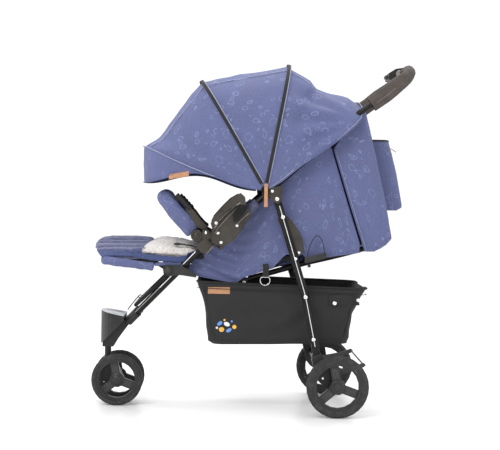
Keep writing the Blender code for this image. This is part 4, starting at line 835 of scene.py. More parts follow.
def canopy_folds(seed, depth, corner=None):
    """Soft folds that run out from the pivots, and from the handle's corner where one is given."""
    def shift(place, normal):
        out = place - CANOPY_AXIS
        reach = math.hypot(out.x, out.z)
        angle = math.atan2(out.z, out.x)
        side = 1 if place.y > 0 else -1
        rays = lumps(angle * 7.0, reach * 3.5, side * 3.0 + seed)
        waves = lumps(place.x * 9, place.y * 5 + seed, place.z * 11)
        off_middle = max(0.0, min(1.0, (abs(place.y) - 0.10) / 0.09))
        size = depth * min(1.0, reach / 0.16) * (rays * 0.9 + waves * 0.9 - 0.7 * (1 - off_middle))
        if corner is not None:
            arm = Vector((place.x - corner.x, 0, place.z - corner.z))
            away = arm.length
            swing = math.atan2(arm.z, arm.x)
            size += off_middle * 0.0080 * (math.sin(swing * 15 + seed)
                                           - 0.1) * math.exp(-((away - 0.135) / 0.075) ** 2)
        return normal * size
    return shift


def canopy_cloth(name, first, last, rows, body, seed, node_name, joint=None, corner=None):
    piece = lofted(name, canopy_rows(first, last, rows, 61))
    finer(piece, 1)
    move_points(piece, canopy_folds(seed, 0.0042, corner))
    lo, hi = (canopy_way(angle, 0.37) for angle in (first, last))
    cloth_sheet(piece, CLOTH, None if joint else body, 0.0012, node_name)
    if joint:
        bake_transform(piece)
        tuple(lo)
        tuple(hi)
    return piece


def bow_sleeve(name, angle, body, side_of_piping):
    """Black tape sewn over a bow, with pale piping along one edge."""
    across = Vector((-math.sin(math.radians(angle)), 0, math.cos(math.radians(angle))))
    first = turn_at(0.055)
    path = [canopy_spot(angle, first + (math.pi - 2 * first) * i / 200, 0.0016) for i in range(201)]
    path = evened(path, 73)
    strap(name, path, 0.0095, 0.0032, WEBBING, body, across)
    edge = [p + across * side_of_piping * 0.0062 for p in path]
    cordlike(name + "_piping", edge, 0.0013, PIPING, body)


def roof_seam(name, first, last, y_share, body, joint=None):
    """Pale piping along the seam between roof and side, on both sides."""
    for side_name, side in SIDES.items():
        turn = math.acos(y_share ** (CANOPY_POWER / 2))
        turn = turn if side < 0 else math.pi - turn
        path = [canopy_spot(first + (last - first) * i / 24, turn, 0.001) for i in range(25)]
        piece = cordlike(f"{name}_{side_name}", path, 0.0012, PIPING, None if joint else body)
        if joint:
            lo, hi = (canopy_spot(a, math.pi / 2) for a in (first, last))
            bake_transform(piece)
            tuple(lo)
            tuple(hi)


def visor_seams():
    """Seam of the visor and the bound hem of the front cloth."""
    half = []
    for angle, share in ((166.0, 0.40), (165.0, 0.5), (163.6, 0.62), (162.4, 0.75), (161.2, 0.87),
                         (160.7, 0.96)):
        half.append(canopy_spot(angle, turn_at(share), 0.0012))
    top = [canopy_spot(SEAM_ANGLE, turn_at(0.985) + (math.pi / 2 - turn_at(0.985)) * i / 5, 0.0012)
           for i in range(6)]
    line = half + top
    line += [Vector((p.x, -p.y, p.z)) for p in line[-2::-1]]
    cordlike("visor_seam", smooth_line(line, 90), 0.0013, PIPING, "canopy_front")
    hem = canopy_rows(FRONT_BOW_ANGLE + 0.3, VISOR_ANGLE, 6, 61)[-1]
    cordlike("visor_hem", smooth_line(hem, 110), 0.0019, PLAIN_CLOTH, "canopy_front")
    rear = canopy_row(REAR_EDGE_ANGLE, 61)
    cordlike("canopy_rear_hem", smooth_line(rear, 120), 0.0018, PLAIN_CLOTH, "handle")
    cordlike("canopy_rear_piping", smooth_line([p + Vector((-0.002, 0, 0.0035)) for p in rear], 120), 0.0009,
             THREAD, "handle")


def patch(name, rows, thickness, material, body):
    """Flat patch sewn on a surface, with a rounded edge."""
    piece = lofted(name, rows)
    modify(piece, "SOLIDIFY", thickness=thickness, offset=1.0)
    modify(piece, "BEVEL", width=thickness * 0.3, segments=2, limit_method="ANGLE")
    return finished(piece, material, body, 35)


def canopy():
    corner = canopy_way(37, 0.335) + Vector((0, -0.2380, 0))
    canopy_cloth("canopy_rear_cloth", REAR_EDGE_ANGLE, MIDDLE_BOW_ANGLE, 16, "handle", 2.0,
                 "canopy_rear_panel",
                 ("handle", "canopy_middle"), corner)
    canopy_cloth("canopy_middle_cloth", MIDDLE_BOW_ANGLE, FRONT_BOW_ANGLE, 15, "canopy_middle", 5.0,
                 "canopy_middle_panel", ("canopy_middle", "canopy_front"))
    canopy_cloth("canopy_front_cloth", FRONT_BOW_ANGLE, VISOR_ANGLE, 20, "canopy_front", 9.0,
                 "canopy_front_panel")
    bow_sleeve("middle_bow_sleeve", MIDDLE_BOW_ANGLE, "canopy_middle", -1)
    bow_sleeve("front_bow_sleeve", FRONT_BOW_ANGLE, "canopy_front", -1)
    roof_seam("middle_roof_seam", MIDDLE_BOW_ANGLE + 1, FRONT_BOW_ANGLE - 1, 0.56, "canopy_middle",
              ("canopy_middle", "canopy_front"))
    roof_seam("front_roof_seam", FRONT_BOW_ANGLE + 1, SEAM_ANGLE - 1, 0.56, "canopy_front")
    roof_seam("rear_roof_seam", 66, MIDDLE_BOW_ANGLE - 1, 0.56, "handle", ("handle", "canopy_middle"))
    visor_seams()
    cloth = surfaces("canopy_front_cloth")
    rows = []
    for t in (0.0, 0.5, 1.0):
        row = []
        for u in (0.0, 0.25, 0.5, 0.75, 1.0):
            x = -0.2426 + 0.0570 * u
            z = 0.6889 - 0.0156 * t + (0.0096 + 0.0012 * t) * u
            row.append(Vector((x, outer_face(cloth, x, z, -1, 0.225) - 0.0016, z)))
        rows.append(row)
    patch("visor_patch", rows, 0.0016, TAN, "canopy_front")


# Side walls, back wall and pocket


def wall_edge(x, spot):
    for a, b in zip(WALL_COLUMNS, WALL_COLUMNS[1:]):
        if x <= b[0]:
            break
    part = (x - a[0]) / (b[0] - a[0])
    return a[spot] + (b[spot] - a[spot]) * part


def lifted_behind(piece):
    """Put a side wall piece's place into its mesh."""
    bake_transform(piece)


def side_wall(side_name, side):
    xs = [-0.182 + 0.490 * i / 54 for i in range(55)]
    rows = []
    for x in xs:
        low, high, y = wall_edge(x, 2), wall_edge(x, 3), wall_edge(x, 1)
        rows.append([Vector((x, side * (y + 0.001), low + (high - low) * j / 26)) for j in range(27)])
    piece = lofted("side_wall_" + side_name, rows)
    finer(piece, 1, True)

    def folds(place, normal):
        x, z = place.x, place.z
        sag = lumps(x * 13 + z * 6, side * 2.0, z * 3)
        small = lumps(x * 34 - z * 20, side * 5.0, z * 22)
        front = max(0.0, min(1.0, (0.06 - x) / 0.12))
        swing = math.hypot(x + 0.02, z - 0.60)
        drawn = (math.sin(swing * 190 + 3 * lumps(x * 9, 4.0, z * 9)) - 0.6) * front * 0.0026
        sunk = 0.5 + 0.5 * lumps(x * 5, 9.0, z * 5)
        return Vector((0,
                       -side * (0.0030 * (1 - sag) + 0.0014 * (1 - small) + 0.002 * sunk + 0.0010 - drawn),
                       0))

    move_points(piece, folds)
    lifted_behind(cloth_sheet(piece, CLOTH, None, 0.0012,
                              "side_panel_" + side_name, side))
    edge = [Vector((x, side * wall_edge(x, 1), wall_edge(x, 2) + 0.001))
            for x in (-0.182, -0.16, -0.12, -0.08, -0.048, -0.026, 0.015, 0.06)]
    lifted_behind(cordlike("side_wall_hem_front_" + side_name, smooth_line(edge, 40), 0.0019, PLAIN_CLOTH,
                           None))
    edge = [Vector((x, side * wall_edge(x, 1), wall_edge(x, 2) + 0.001))
            for x in (0.158, 0.19, 0.23, 0.27, 0.308)]
    lifted_behind(cordlike("side_wall_hem_rear_" + side_name, smooth_line(edge, 40), 0.0019, PLAIN_CLOTH,
                           None))


def back_edges(z):
    for a, b in zip(BACK_LEVELS, BACK_LEVELS[1:]):
        if z <= b[0]:
            break
    part = (z - a[0]) / (b[0] - a[0])
    return a[1] + (b[1] - a[1]) * part, a[2] + (b[2] - a[2]) * part


def back_ring(z, count):
    front, rear = back_edges(z)
    half = BACK_HALF_WIDTH
    r = min(0.024, (rear - front) * 0.8)
    side = [Vector((front, -half, z)), Vector((rear - r, -half, z))]
    for i in range(1, 8):
        a = math.pi / 2 * i / 8
        side.append(Vector((rear - r + r * math.sin(a), -half + r - r * math.cos(a), z)))
    side.append(Vector((rear, r - half, z)))
    return evened(side + [Vector((p.x, -p.y, z)) for p in side[::-1]], count)


def slack(piece):
    """Put the place of a back wall piece into its mesh."""
    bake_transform(piece)


def back_wall():
    levels = 44
    rows = [back_ring(0.476 + 0.404 * i / (levels - 1), 121) for i in range(levels)]
    piece = lofted("back_wall", rows)

    def folds(place, normal):
        x, y, z = place
        down = lumps(x * 26, y * 17, z * 4)
        small = lumps(x * 40, y * 30, z * 24)
        into = Vector((-0.5, 0, 0)) if abs(y) < 0.19 else Vector((0, -math.copysign(1, y), 0))
        crease = math.exp(-((x - (0.351 + (0.70 - z) * 0.16)) / 0.006) ** 2) * (abs(y) > 0.19) * 0.003
        return into * (0.0022 * (1 - down) + 0.0011 * (1 - small) + crease)

    move_points(piece, folds)
    slack(cloth_sheet(piece, CLOTH, None, 0.0012, "back_panel", 1.0))
    for side_name, side in SIDES.items():
        zs = [0.479 + (0.768 - 0.479) * i / 30 for i in range(31)]
        edge = [Vector((back_edges(z)[0] + 0.001, side * (BACK_HALF_WIDTH - 0.0002), z)) for z in zs]
        slack(cordlike("back_wall_edge_" + side_name, edge, 0.0016, PLAIN_CLOTH, None))
        seam = [p + Vector((0.0045, side * 0.0001, 0)) for p in edge]
        slack(cordlike("back_wall_stitch_" + side_name, seam, 0.0006, THREAD, None))


def pocket():
    """Pouch on the back wall: gathered, open at the top under a black band."""
    outer = ((0.800, 0.400), (0.760, 0.414), (0.710, 0.426), (0.660, 0.4365), (0.612, 0.4455),
             (0.600, 0.444), (0.596, 0.430))
    heights = [0.800 - 0.204 * i / 26 for i in range(27)]
    rows = []
    for z in heights:
        for (za, xa), (zb, xb) in zip(outer, outer[1:]):
            if z >= zb - 1e-9:
                break
        far = xa + (xb - xa) * (za - z) / (za - zb)
        near = back_edges(z)[1] + 0.0016
        depth = far - near
        ring = []
        for i in range(49):
            a = math.pi * i / 48
            c, s = math.cos(a), math.sin(a)
            y = -0.110 * math.copysign(abs(c) ** 0.22, c)
            x = near + depth * s ** 0.42
            fold = 0.0026 * lumps(y * 38, z * 14, 3.0) + 0.002 * math.sin(y * 150) * max(0, (z - 0.74) / 0.06)
            ring.append(Vector((x + (fold - 0.0012) * s, y, z)))
        rows.append(ring)
    last = rows[-1]
    for share in (0.75, 0.45, 0.1):
        near = back_edges(0.596)[1] + 0.0016
        rows.append([Vector((near + (p.x - near) * share, p.y, 0.5965)) for p in last])
    piece = lofted("rear_pocket", rows)
    slack(cloth_sheet(piece, CLOTH, None, 0.0013, "storage_pocket", 1.0))
    top = [p + Vector((0.0005, 0, 0)) for p in rows[0]]
    slack(cordlike("pocket_band", evened(top, 60), 0.0032, BLACK_CLOTH, None))
    corner = [Vector((p.x + 0.0006, p.y, p.z)) for p in (row[3] for row in rows[2:27])]
    slack(cordlike("pocket_seam_left", corner, 0.0013, PIPING, None))
    corner = [Vector((p.x + 0.0006, p.y, p.z)) for p in (row[-4] for row in rows[2:27])]
    slack(cordlike("pocket_seam_right", corner, 0.0013, PIPING, None))
    for side_name, side in SIDES.items():
        tab = [Vector((0.398, side * 0.085, 0.781)), Vector((0.412, side * 0.086, 0.776)),
               Vector((0.424, side * 0.086, 0.768))]
        slack(strap("pocket_tab_" + side_name, smooth_line(tab, 9), 0.009, 0.0018, TAN, None))


# Basket


def basket_ring(level, count=120):
    """Outline of the basket at a level from 0 at the floor to 3 at the rim."""
    i = min(2, int(level))
    a, b = BASKET_LEVELS[i], BASKET_LEVELS[i + 1]
    z_front, z_rear, front, rear, half = (a[k] + (b[k] - a[k]) * (level - i) for k in range(5))
    r = 0.035
    points = []
    for x, y, start in ((rear - r, half - r, 0), (front + r, half - r, 90), (front + r, r - half, 180),
                        (rear - r, r - half, 270)):
        for step in range(0, 91, 10):
            t = math.radians(start + step)
            px = x + r * math.cos(t)
            points.append(Vector((px, y + r * math.sin(t),
                                  z_front + (z_rear - z_front) * (px - front) / (rear - front))))
    points.append(points[0])
    return evened(points, count + 1)[:-1]


def basket():
    count = 120
    levels = [0, 0.5, 1, 1.2, 1.4, 1.6, 1.8, 2, 2.15, 2.3, 2.45, 2.6, 2.75, 2.9, 3]
    rings = [basket_ring(level, count) for level in levels]
    centre = Vector((0.086, 0, 0.2))
    base = rings[0]
    floor_rings = [[centre.lerp(p, share) + Vector((0, 0, 0.001 * (1 - share))) for p in base]
                   for share in (0.04, 0.3, 0.6, 0.85)]
    piece = lofted("basket_cloth", floor_rings + rings, closed=True)
    finer(piece, 1, True)

    def folds(place, normal):
        x, y, z = place
        if z < 0.206:
            return Vector((0, 0, 0.0016 * lumps(x * 12, y * 12, 1.0)))
        into = (Vector((0.086, 0, z)) - place).normalized()
        hang = math.sin(min(1.0, (z - 0.2) / 0.17) * math.pi)
        broad = lumps(x * 6, y * 6, z * 7)
        drawn = lumps((x + z * 0.9) * 20, y * 10, (z - x * 0.25) * 16)
        swag = math.sin((x + 0.06) * 15 - (z - 0.22) * 34 + 2 * broad) ** 2
        gather = math.sin(x * 330 + z * 45) * math.exp(-((x - 0.272) / 0.035) ** 2)
        return into * (hang * (0.0056 * (0.55 + broad) + 0.0034 * (0.5 + drawn) + 0.0045 * swag
                               + 0.0018 * (1 + gather)))

    move_points(piece, folds)
    cloth_sheet(piece, BLACK_CLOTH, "chassis", 0.0016,
                "basket", 1.0)
    rim = basket_ring(3, count)
    cordlike("basket_rim_binding", [p + Vector((0, 0, 0.0005)) for p in rim] + rim[:1], 0.0034, WEBBING,
             "chassis")
    lower = [p + Vector((0, 0, -0.017)) for p in rim]
    cordlike("basket_rim_stitch",
             [p + Vector((0, math.copysign(0.0003, p.y), 0)) for p in lower] + lower[:1], 0.0010,
             BLACK_CLOTH, "chassis")


# Padded pieces

def copy_of(node_name, name):
    """The CAD solid's own shape, merged, as the start of a soft piece."""
    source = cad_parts[node_name]
    piece = bpy.data.objects.new(name, source.data.copy())
    bpy.context.collection.objects.link(piece)
    with reshaped(piece) as made:
        bmesh.ops.remove_doubles(made, verts=made.verts, dist=0.0001)
    return piece


def stuffed(piece, voxel, limit, pressure=4.0):
    """Swell a closed cover by cloth pressure, and keep each point within limit of where it began."""
    modify(piece, "REMESH", mode="VOXEL", voxel_size=voxel)
    start = [v.co.copy() for v in piece.data.vertices]
    only(piece)
    cloth = piece.modifiers.new("cloth", "CLOTH")
    cloth.settings.use_pressure = True
    cloth.settings.uniform_pressure_force = pressure
    cloth.settings.effector_weights.gravity = 0
    for step in range(1, 21):
        bpy.context.scene.frame_set(step)
    bpy.ops.object.modifier_apply(modifier=cloth.name)
    bpy.context.scene.frame_set(1)
    for vertex, home in zip(piece.data.vertices, start):
        away = vertex.co - home
        if away.length > limit:
            vertex.co = home + away.normalized() * limit
    modify(piece, "SMOOTH", factor=0.5, iterations=4)
    finer(piece, 1)


def pad(node_name, name, body, material, voxel, limit, sewn):
    piece = copy_of(node_name, name)
    stuffed(piece, voxel, limit)
    move_points(piece, sewn)
    finished(piece, material, body, 60)
    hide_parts(node_name)
    return piece


def furrow(distance, width):
    return math.exp(-(distance / width) ** 2)


def seat_pads():
    low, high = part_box("seat_pad")
    middle = (low + high) / 2

    def seat_sewn(place, normal):
        if normal.z < 0.3:
            return normal * -0.001
        across = furrow(abs(abs(place.y) - 0.058), 0.0045) + furrow(abs(place.x - middle.x - 0.03), 0.0045)
        ripple = lumps(place.x * 30, place.y * 30, 2.0) * 0.0012
        return normal * (ripple - 0.0042 * min(1.0, across))

    pad("seat_pad", "seat_cushion", "seat", PAD_CLOTH, 0.006, 0.005, seat_sewn)
    low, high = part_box("backrest_pad")

    def back_sewn(place, normal):
        if normal.z < 0.3:
            return normal * -0.001
        across = furrow(abs(abs(place.y) - 0.075), 0.005)
        step = (place.x - low.x) / (high.x - low.x) * 4
        across += furrow(abs(step - round(step)) * (high.x - low.x) / 4, 0.0045) * (0.4 < step < 3.6)
        ripple = lumps(place.x * 26, place.y * 26, 6.0) * 0.0014
        return normal * (ripple - 0.0045 * min(1.0, across))

    pad("backrest_pad", "backrest_cushion", "backrest", PAD_CLOTH, 0.006, 0.005, back_sewn)


def leg_rest_seam(x):
    """Height of the seam between the light top and the dark side of the leg rest's cushion."""
    return 0.4662 + 0.008 * max(0.0, min(1.0, (x + 0.355) / 0.04))


def plump_nose(piece):
    """Round the front of the cushion and dome its top."""
    heights = [v.co.z for v in piece.data.vertices]
    bottom, step = min(heights), 0.003
    fronts = {}
    for vertex in piece.data.vertices:
        level = int((vertex.co.z - bottom) / step)
        fronts[level] = min(fronts.get(level, 0.0), vertex.co.x)
    levels = sorted(fronts)
    at = [bottom + (level + 0.5) * step for level in levels]
    now = [fronts[level] for level in levels]
    for vertex in piece.data.vertices:
        x, y, z = vertex.co
        if x < NOSE_FROM:
            wanted = float(np.interp(z, [h for h, _ in LEG_REST_NOSE], [front for _, front in LEG_REST_NOSE]))
            reach = min(-0.02, float(np.interp(z, at, now)) - NOSE_FROM)
            x = NOSE_FROM + (x - NOSE_FROM) * (wanted - NOSE_FROM) / reach
        seam = leg_rest_seam(x)
        if z > seam:
            z = seam + (z - seam) * (1 - 0.52 * min(1.0, abs(y) / 0.152) ** 2.6)
        vertex.co = (x, y, z)
    piece.data.update()


def leg_rest_cushion():
    """Puffy quilted pad with lengthwise channels, a blunt nose and a darker lower side."""
    low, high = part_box("leg_rest_pad")

    def sewn(place, normal):
        pitch = (high.y - low.y) / 13
        lane = (place.y - low.y) / pitch
        valley = furrow((lane - round(lane)) * pitch, 0.0028)
        up = max(0.0, normal.z)
        front = max(0.0, -normal.x)
        side = abs(normal.y)
        ripple = lumps(place.x * 30, place.y * 55, place.z * 40) * 0.0016
        seam = furrow(place.z - leg_rest_seam(place.x), 0.0032) * (side + front) * 0.0030
        pucker = math.sin(place.x * 330 + 4 * noise.noise(place * 30)) * side * furrow(place.z
                - leg_rest_seam(place.x), 0.010) * 0.0014
        return normal * (ripple + pucker - seam - valley * (min(1.0, up * 1.6) * 0.0062 + front * 0.0020))

    piece = copy_of("leg_rest_pad", "leg_rest_cushion")
    stuffed(piece, 0.005, 0.005)
    plump_nose(piece)
    move_points(piece, sewn)
    finished(piece, SATIN, "leg_rest", 70)
    piece.data.materials.append(DARK_SATIN)
    for face in piece.data.polygons:
        if face.center.z < leg_rest_seam(face.center.x):
            face.material_index = 1
    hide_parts("leg_rest_pad")


def leg_rest_band():
    """Cloth sleeve wrapped round the leg rest's tube on both sides and across the front."""
    for side_name, side in SIDES.items():
        path = [Vector((-0.2845, side * 0.1455, 0.4195)), Vector((-0.340, side * 0.1455, 0.4265)),
                Vector((-0.4110, side * 0.1450, 0.4342)), Vector((-0.4257, side * 0.1390, 0.4360)),
                Vector((-0.4316, side * 0.1250, 0.4366))]
        path = smooth_line(path, 22)
        ring = lambda i: [(a * (1 + 0.05 * math.sin(i * 2.1)), b * (1 + 0.04 * math.sin(i * 1.3 + 1))) for a,
                          b in oval(0.0092, 0.0128, 20, 3)]
        stuffed_tube("leg_rest_sleeve_" + side_name, path, ring, CLOTH, "leg_rest",
                     lambda p, n: n * 0.0012 * lumps(p.x * 60, p.y * 40, p.z * 60))
        for x in (-0.31, -0.40):
            z = 0.4195 - (x + 0.2845) * 0.118
            at = [Vector((x, side * 0.1530, z - 0.010)), Vector((x, side * 0.1545, z)),
                  Vector((x, side * 0.1530, z + 0.010))]
            cordlike(f"leg_rest_sleeve_stitch_{side_name}_{'rear' if x > -0.35 else 'front'}", at, 0.0005,
                     THREAD, "leg_rest")
    front = smooth_line([(-0.4316, y, 0.4366) for y in (-0.126, -0.06, 0, 0.06, 0.126)], 24)
    stuffed_tube("leg_rest_front_sleeve", front, lambda i: oval(0.0128, 0.0090, 20, 3), CLOTH, "leg_rest",
                 lambda p, n: n * 0.0014 * lumps(p.x * 60, p.y * 40, p.z * 60), Vector((0, 0, 1)))


def liner():
    """Fleece lining that swells over the joint between the leg rest and the seat."""
    profile = ((-0.330, 0.474, 0.014), (-0.312, 0.484, 0.030), (-0.280, 0.499, 0.050), (-0.247, 0.504, 0.062),
               (-0.215, 0.499, 0.060), (-0.190, 0.495, 0.056), (-0.168, 0.490, 0.046), (-0.150, 0.478, 0.024))
    rows = []
    for x, top, depth in profile:
        ring = []
        for i in range(56):
            t = math.tau * i / 56
            c, s = math.cos(t), math.sin(t)
            half = 0.1505 - 0.0012 * math.exp(-((x + 0.24) / 0.05) ** 2)
            y = half * math.copysign(abs(c) ** 0.35, c)
            z = top - depth / 2 + depth / 2 * math.copysign(abs(s) ** 0.7, s)
            ring.append(Vector((x, y, z)))
        rows.append(ring)
    piece = lofted("fleece_liner", rows, closed=True)
    with reshaped(piece) as made:
        end_faces(made, 56, len(profile) - 1, True)
    finer(piece, 2)

    def tufts(place, normal):
        curl = lumps(place.x * 60, place.y * 60, place.z * 60)
        fine = lumps(place.x * 170, place.y * 170, place.z * 170)
        broad = lumps(place.x * 20, place.y * 14, place.z * 20)
        lump = lumps(place.x * 95, place.y * 95, place.z * 95)
        dip = 0.021 * math.exp(-((place.x + 0.209) / 0.032) ** 2 - (place.y / 0.036) ** 2) * max(0.0,
                normal.z)
        rounded = 0.010 * max(0.0, normal.z) * min(1.0, abs(place.y) / 0.150) ** 4
        return normal * (0.0034 * curl + 0.0014 * fine + 0.0048 * broad + 0.0022 * lump - dip - rounded)

    move_points(piece, tufts)
    finished(piece, FLEECE, None, 80)
    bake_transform(piece)
    for side_name, side in SIDES.items():
        path = smooth_line(((-0.345, side * 0.1500, 0.4555), (-0.300, side * 0.1535, 0.4480),
                            (-0.245, side * 0.1545, 0.4430), (-0.205, side * 0.1540, 0.4425),
                            (-0.172, side * 0.1500, 0.452)), 26)
        ring = lambda i: [(a, b * (1 + 0.16 * math.sin(i * 1.9))) for a, b in oval(0.0032, 0.0088, 16, 2.5)]
        trim = swept("liner_binding_" + side_name, path, ring)
        finer(trim, 1)
        finished(trim, DARK_BLUE, None, 60)
        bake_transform(trim)
        spots = []
        for i in range(46):
            t = i / 45
            wave = 1.5 * math.sin(t * math.tau * 6)
            spots.append(Vector((-0.198 + 0.034 * t, side * (0.1535 + 0.0035 * wave), 0.448 + 0.012 * t)))
        hem = smooth_line(((-0.2830, side * 0.1490, 0.4268), (-0.245, side * 0.1515, 0.4295),
                           (-0.205, side * 0.1515, 0.4300)), 20)
        ring = lambda i: oval(0.0026, 0.0054, 14, 3)
        trim = swept("seat_front_hem_" + side_name, hem, ring)
        finer(trim, 1)
        finished(trim, PLAIN_CLOTH, None, 60)
        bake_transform(trim)
        rows = [[p + Vector((0.004 * k, side * 0.0012 * k * math.sin(j * 0.9), 0.0085 * k - 0.012)) for j,
                 p in enumerate(spots)] for k in range(4)]
        ruffle = lofted("liner_ruffle_" + side_name, rows)
        cloth_sheet(ruffle, DARK_BLUE, "chassis", 0.0012, None, side)


# Bumper bar


def bumper_cover():
    """Wadded sleeve on the bar, a black folded lining on its inner side and the arms to the sockets."""
    half = [Vector((-0.1700, 0.1832, 0.5225)), Vector((-0.196, 0.1858, 0.5515))] + [Vector(p)
            for p in BUMPER_PATH[2:]]
    line = smooth_line([Vector((p.x, -p.y, p.z)) for p in half] + half[::-1], 70)
    count = len(line)
    rings = []
    for i, (spot, way) in enumerate(zip(line, ways_along(line))):
        off = abs(i - (count - 1) / 2) / ((count - 1) / 2)
        end = (1 - off ** 30) ** 0.5 * 0.1 + 0.9
        thin = 0.0105 + 0.0045 * (1 - off ** 10) + 0.0085 * max(0.0, 1 - off ** 2)
        pucker = 1 + 0.02 * math.sin(i * 1.7)
        upright = Vector((-0.35, 0, 0.936))
        out = way.cross(upright).normalized()
        tall = out.cross(way).normalized()
        rings.append([spot + tall * a * end * pucker + out * b * end for a, b in oval(0.0232, thin, 24, 2.3)])
    piece = lofted("bumper_sleeve", rings, closed=True)
    with reshaped(piece) as made:
        end_faces(made, 24, count - 1, False)
    finer(piece, 1)
    move_points(piece, lambda p, n: n * (0.0014 * lumps(p.x * 45, p.y * 30, p.z * 45)
                                         + 0.0008 * lumps(p.x * 120, p.y * 90, p.z * 120)))
    finished(piece, CLOTH, "bumper", 60)
    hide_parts("bumper_cover")
    for side_name, side in SIDES.items():
        path = smooth_line([(x, side * 0.1860, z) for x, z in
                            ((-0.2225, 0.6300), (-0.2101, 0.6197), (-0.1936, 0.6018), (-0.1800, 0.5887))], 26)
        ring = lambda i: [(a, b * (1 + 0.16 * math.sin(i * 1.25) + 0.08 * math.sin(i * 2.9))) for a,
                          b in oval(0.0110, 0.0078, 16, 3)]
        stuffed_tube("bumper_lining_" + side_name, path, ring, BLACK_CLOTH, "bumper")
        arm = ((-0.1960, 0.5900), (-0.1850, 0.5990), (-0.1690, 0.5840), (-0.1550, 0.5650), (-0.1400, 0.5490),
               (-0.1300, 0.5420), (-0.1290, 0.5345), (-0.1400, 0.5290), (-0.1600, 0.5370), (-0.1760, 0.5600))
        plate("bumper_arm_" + side_name, arm, side, 0.1810, 0.1940, HOUSING, "bumper", 0.0012)


# Hardware and trim

def turned_head(name, radius, rise, steps, count=32):
    """Round head drawn from a disc by insets and lifts; the first of a kind, copied by stamp()."""
    bpy.ops.object.select_all(action="DESELECT")
    bpy.ops.mesh.primitive_circle_add(vertices=count, radius=radius, fill_type="NGON")
    piece = bpy.context.object
    piece.name = name
    bpy.ops.object.mode_set(mode="EDIT")
    bpy.ops.mesh.select_all(action="SELECT")
    bpy.ops.mesh.extrude_region_move(TRANSFORM_OT_translate={"value": (0, 0, rise)})
    for inset, lift in steps:
        bpy.ops.mesh.inset(thickness=inset, depth=0)
        bpy.ops.transform.translate(value=(0, 0, lift))
    bpy.ops.mesh.select_all(action="DESELECT")
    bpy.ops.mesh.select_non_manifold()
    bpy.ops.mesh.edge_face_add()
    bpy.ops.mesh.select_all(action="SELECT")
    bpy.ops.mesh.normals_make_consistent(inside=False)
    bpy.ops.object.mode_set(mode="OBJECT")
    modify(piece, "BEVEL", width=rise * 0.22, segments=2, limit_method="ANGLE")
    return piece


def facing(place, out, spin=Vector((0, 0, 1))):
    right = spin.cross(out)
    if right.length < 0.01:
        right = Vector((1, 0, 0))
    right.normalize()
    return aim(Vector(place), right, out.cross(right), out)


def stamp(master, name, place, out, material, body):
    piece = bpy.data.objects.new(name, master.data.copy())
    bpy.context.collection.objects.link(piece)
    piece.data.transform(facing(place, Vector(out).normalized()))
    return finished(piece, material, body, 35)


def laid(tree, spots, lift):
    """Points over x, y spots, resting on what is under them."""
    out = []
    for x, y in spots:
        hit = tree.ray_cast(Vector((x, y, 0.9)), Vector((0, 0, -1)), 1.0)[0]
        out.append(Vector((x, y, (hit.z if hit else out[-1].z - lift if out else 0.45) + lift)))
    return out


def spots_between(points, count):
    line = smooth_line([(x, y, 0) for x, y in points], count)
    return [(p.x, p.y) for p in line]


def plate(name, outline, side, inner, outer, material, body, bevel=0.0006, slot=None):
    """Flat plate of this outline in x and z, between two distances from the middle plane."""
    bpy.ops.object.select_all(action="DESELECT")
    count = len(outline)
    bpy.ops.mesh.primitive_circle_add(vertices=count, radius=0.01, fill_type="NGON")
    piece = bpy.context.object
    piece.name = name
    for vertex, (x, z) in zip(piece.data.vertices, outline):
        vertex.co = (x, side * inner, z)
    bpy.ops.object.mode_set(mode="EDIT")
    bpy.ops.mesh.select_all(action="SELECT")
    bpy.ops.mesh.extrude_region_move(TRANSFORM_OT_translate={"value": (0, side * (outer - inner), 0)})
    bpy.ops.mesh.select_all(action="DESELECT")
    bpy.ops.mesh.select_non_manifold()
    bpy.ops.mesh.edge_face_add()
    bpy.ops.mesh.select_all(action="SELECT")
    bpy.ops.mesh.normals_make_consistent(inside=False)
    bpy.ops.object.mode_set(mode="OBJECT")
    modify(piece, "BEVEL", width=bevel, segments=2, limit_method="ANGLE")
    return finished(piece, material, body, 35, slot)


def ring_of(name, centre, radius, wire, axis, material, body, flat_side=None, slot=None):
    """Wire ring; flat_side cuts it to a D by holding points above that height."""
    axis = Vector(axis).normalized()
    right = axis.cross(Vector((0, 0, 1))).normalized()
    up = right.cross(axis)
    path = []
    for i in range(41):
        t = math.tau * i / 40
        h = math.sin(t) * radius
        if flat_side is not None:
            h = min(h, flat_side)
        path.append(Vector(centre) + right * math.cos(t) * radius + up * h)
    ring = oval(wire, wire, 8)
    piece = swept(name, path, lambda i: ring, axis)
    return finished(piece, material, body, 80, slot)


def leg_out(z):
    """Outer face of the rear leg, as a distance from the middle plane."""
    return 0.2403 + (0.200 - 0.2403) * (0.623 - z) / (0.623 - 0.178) + 0.007


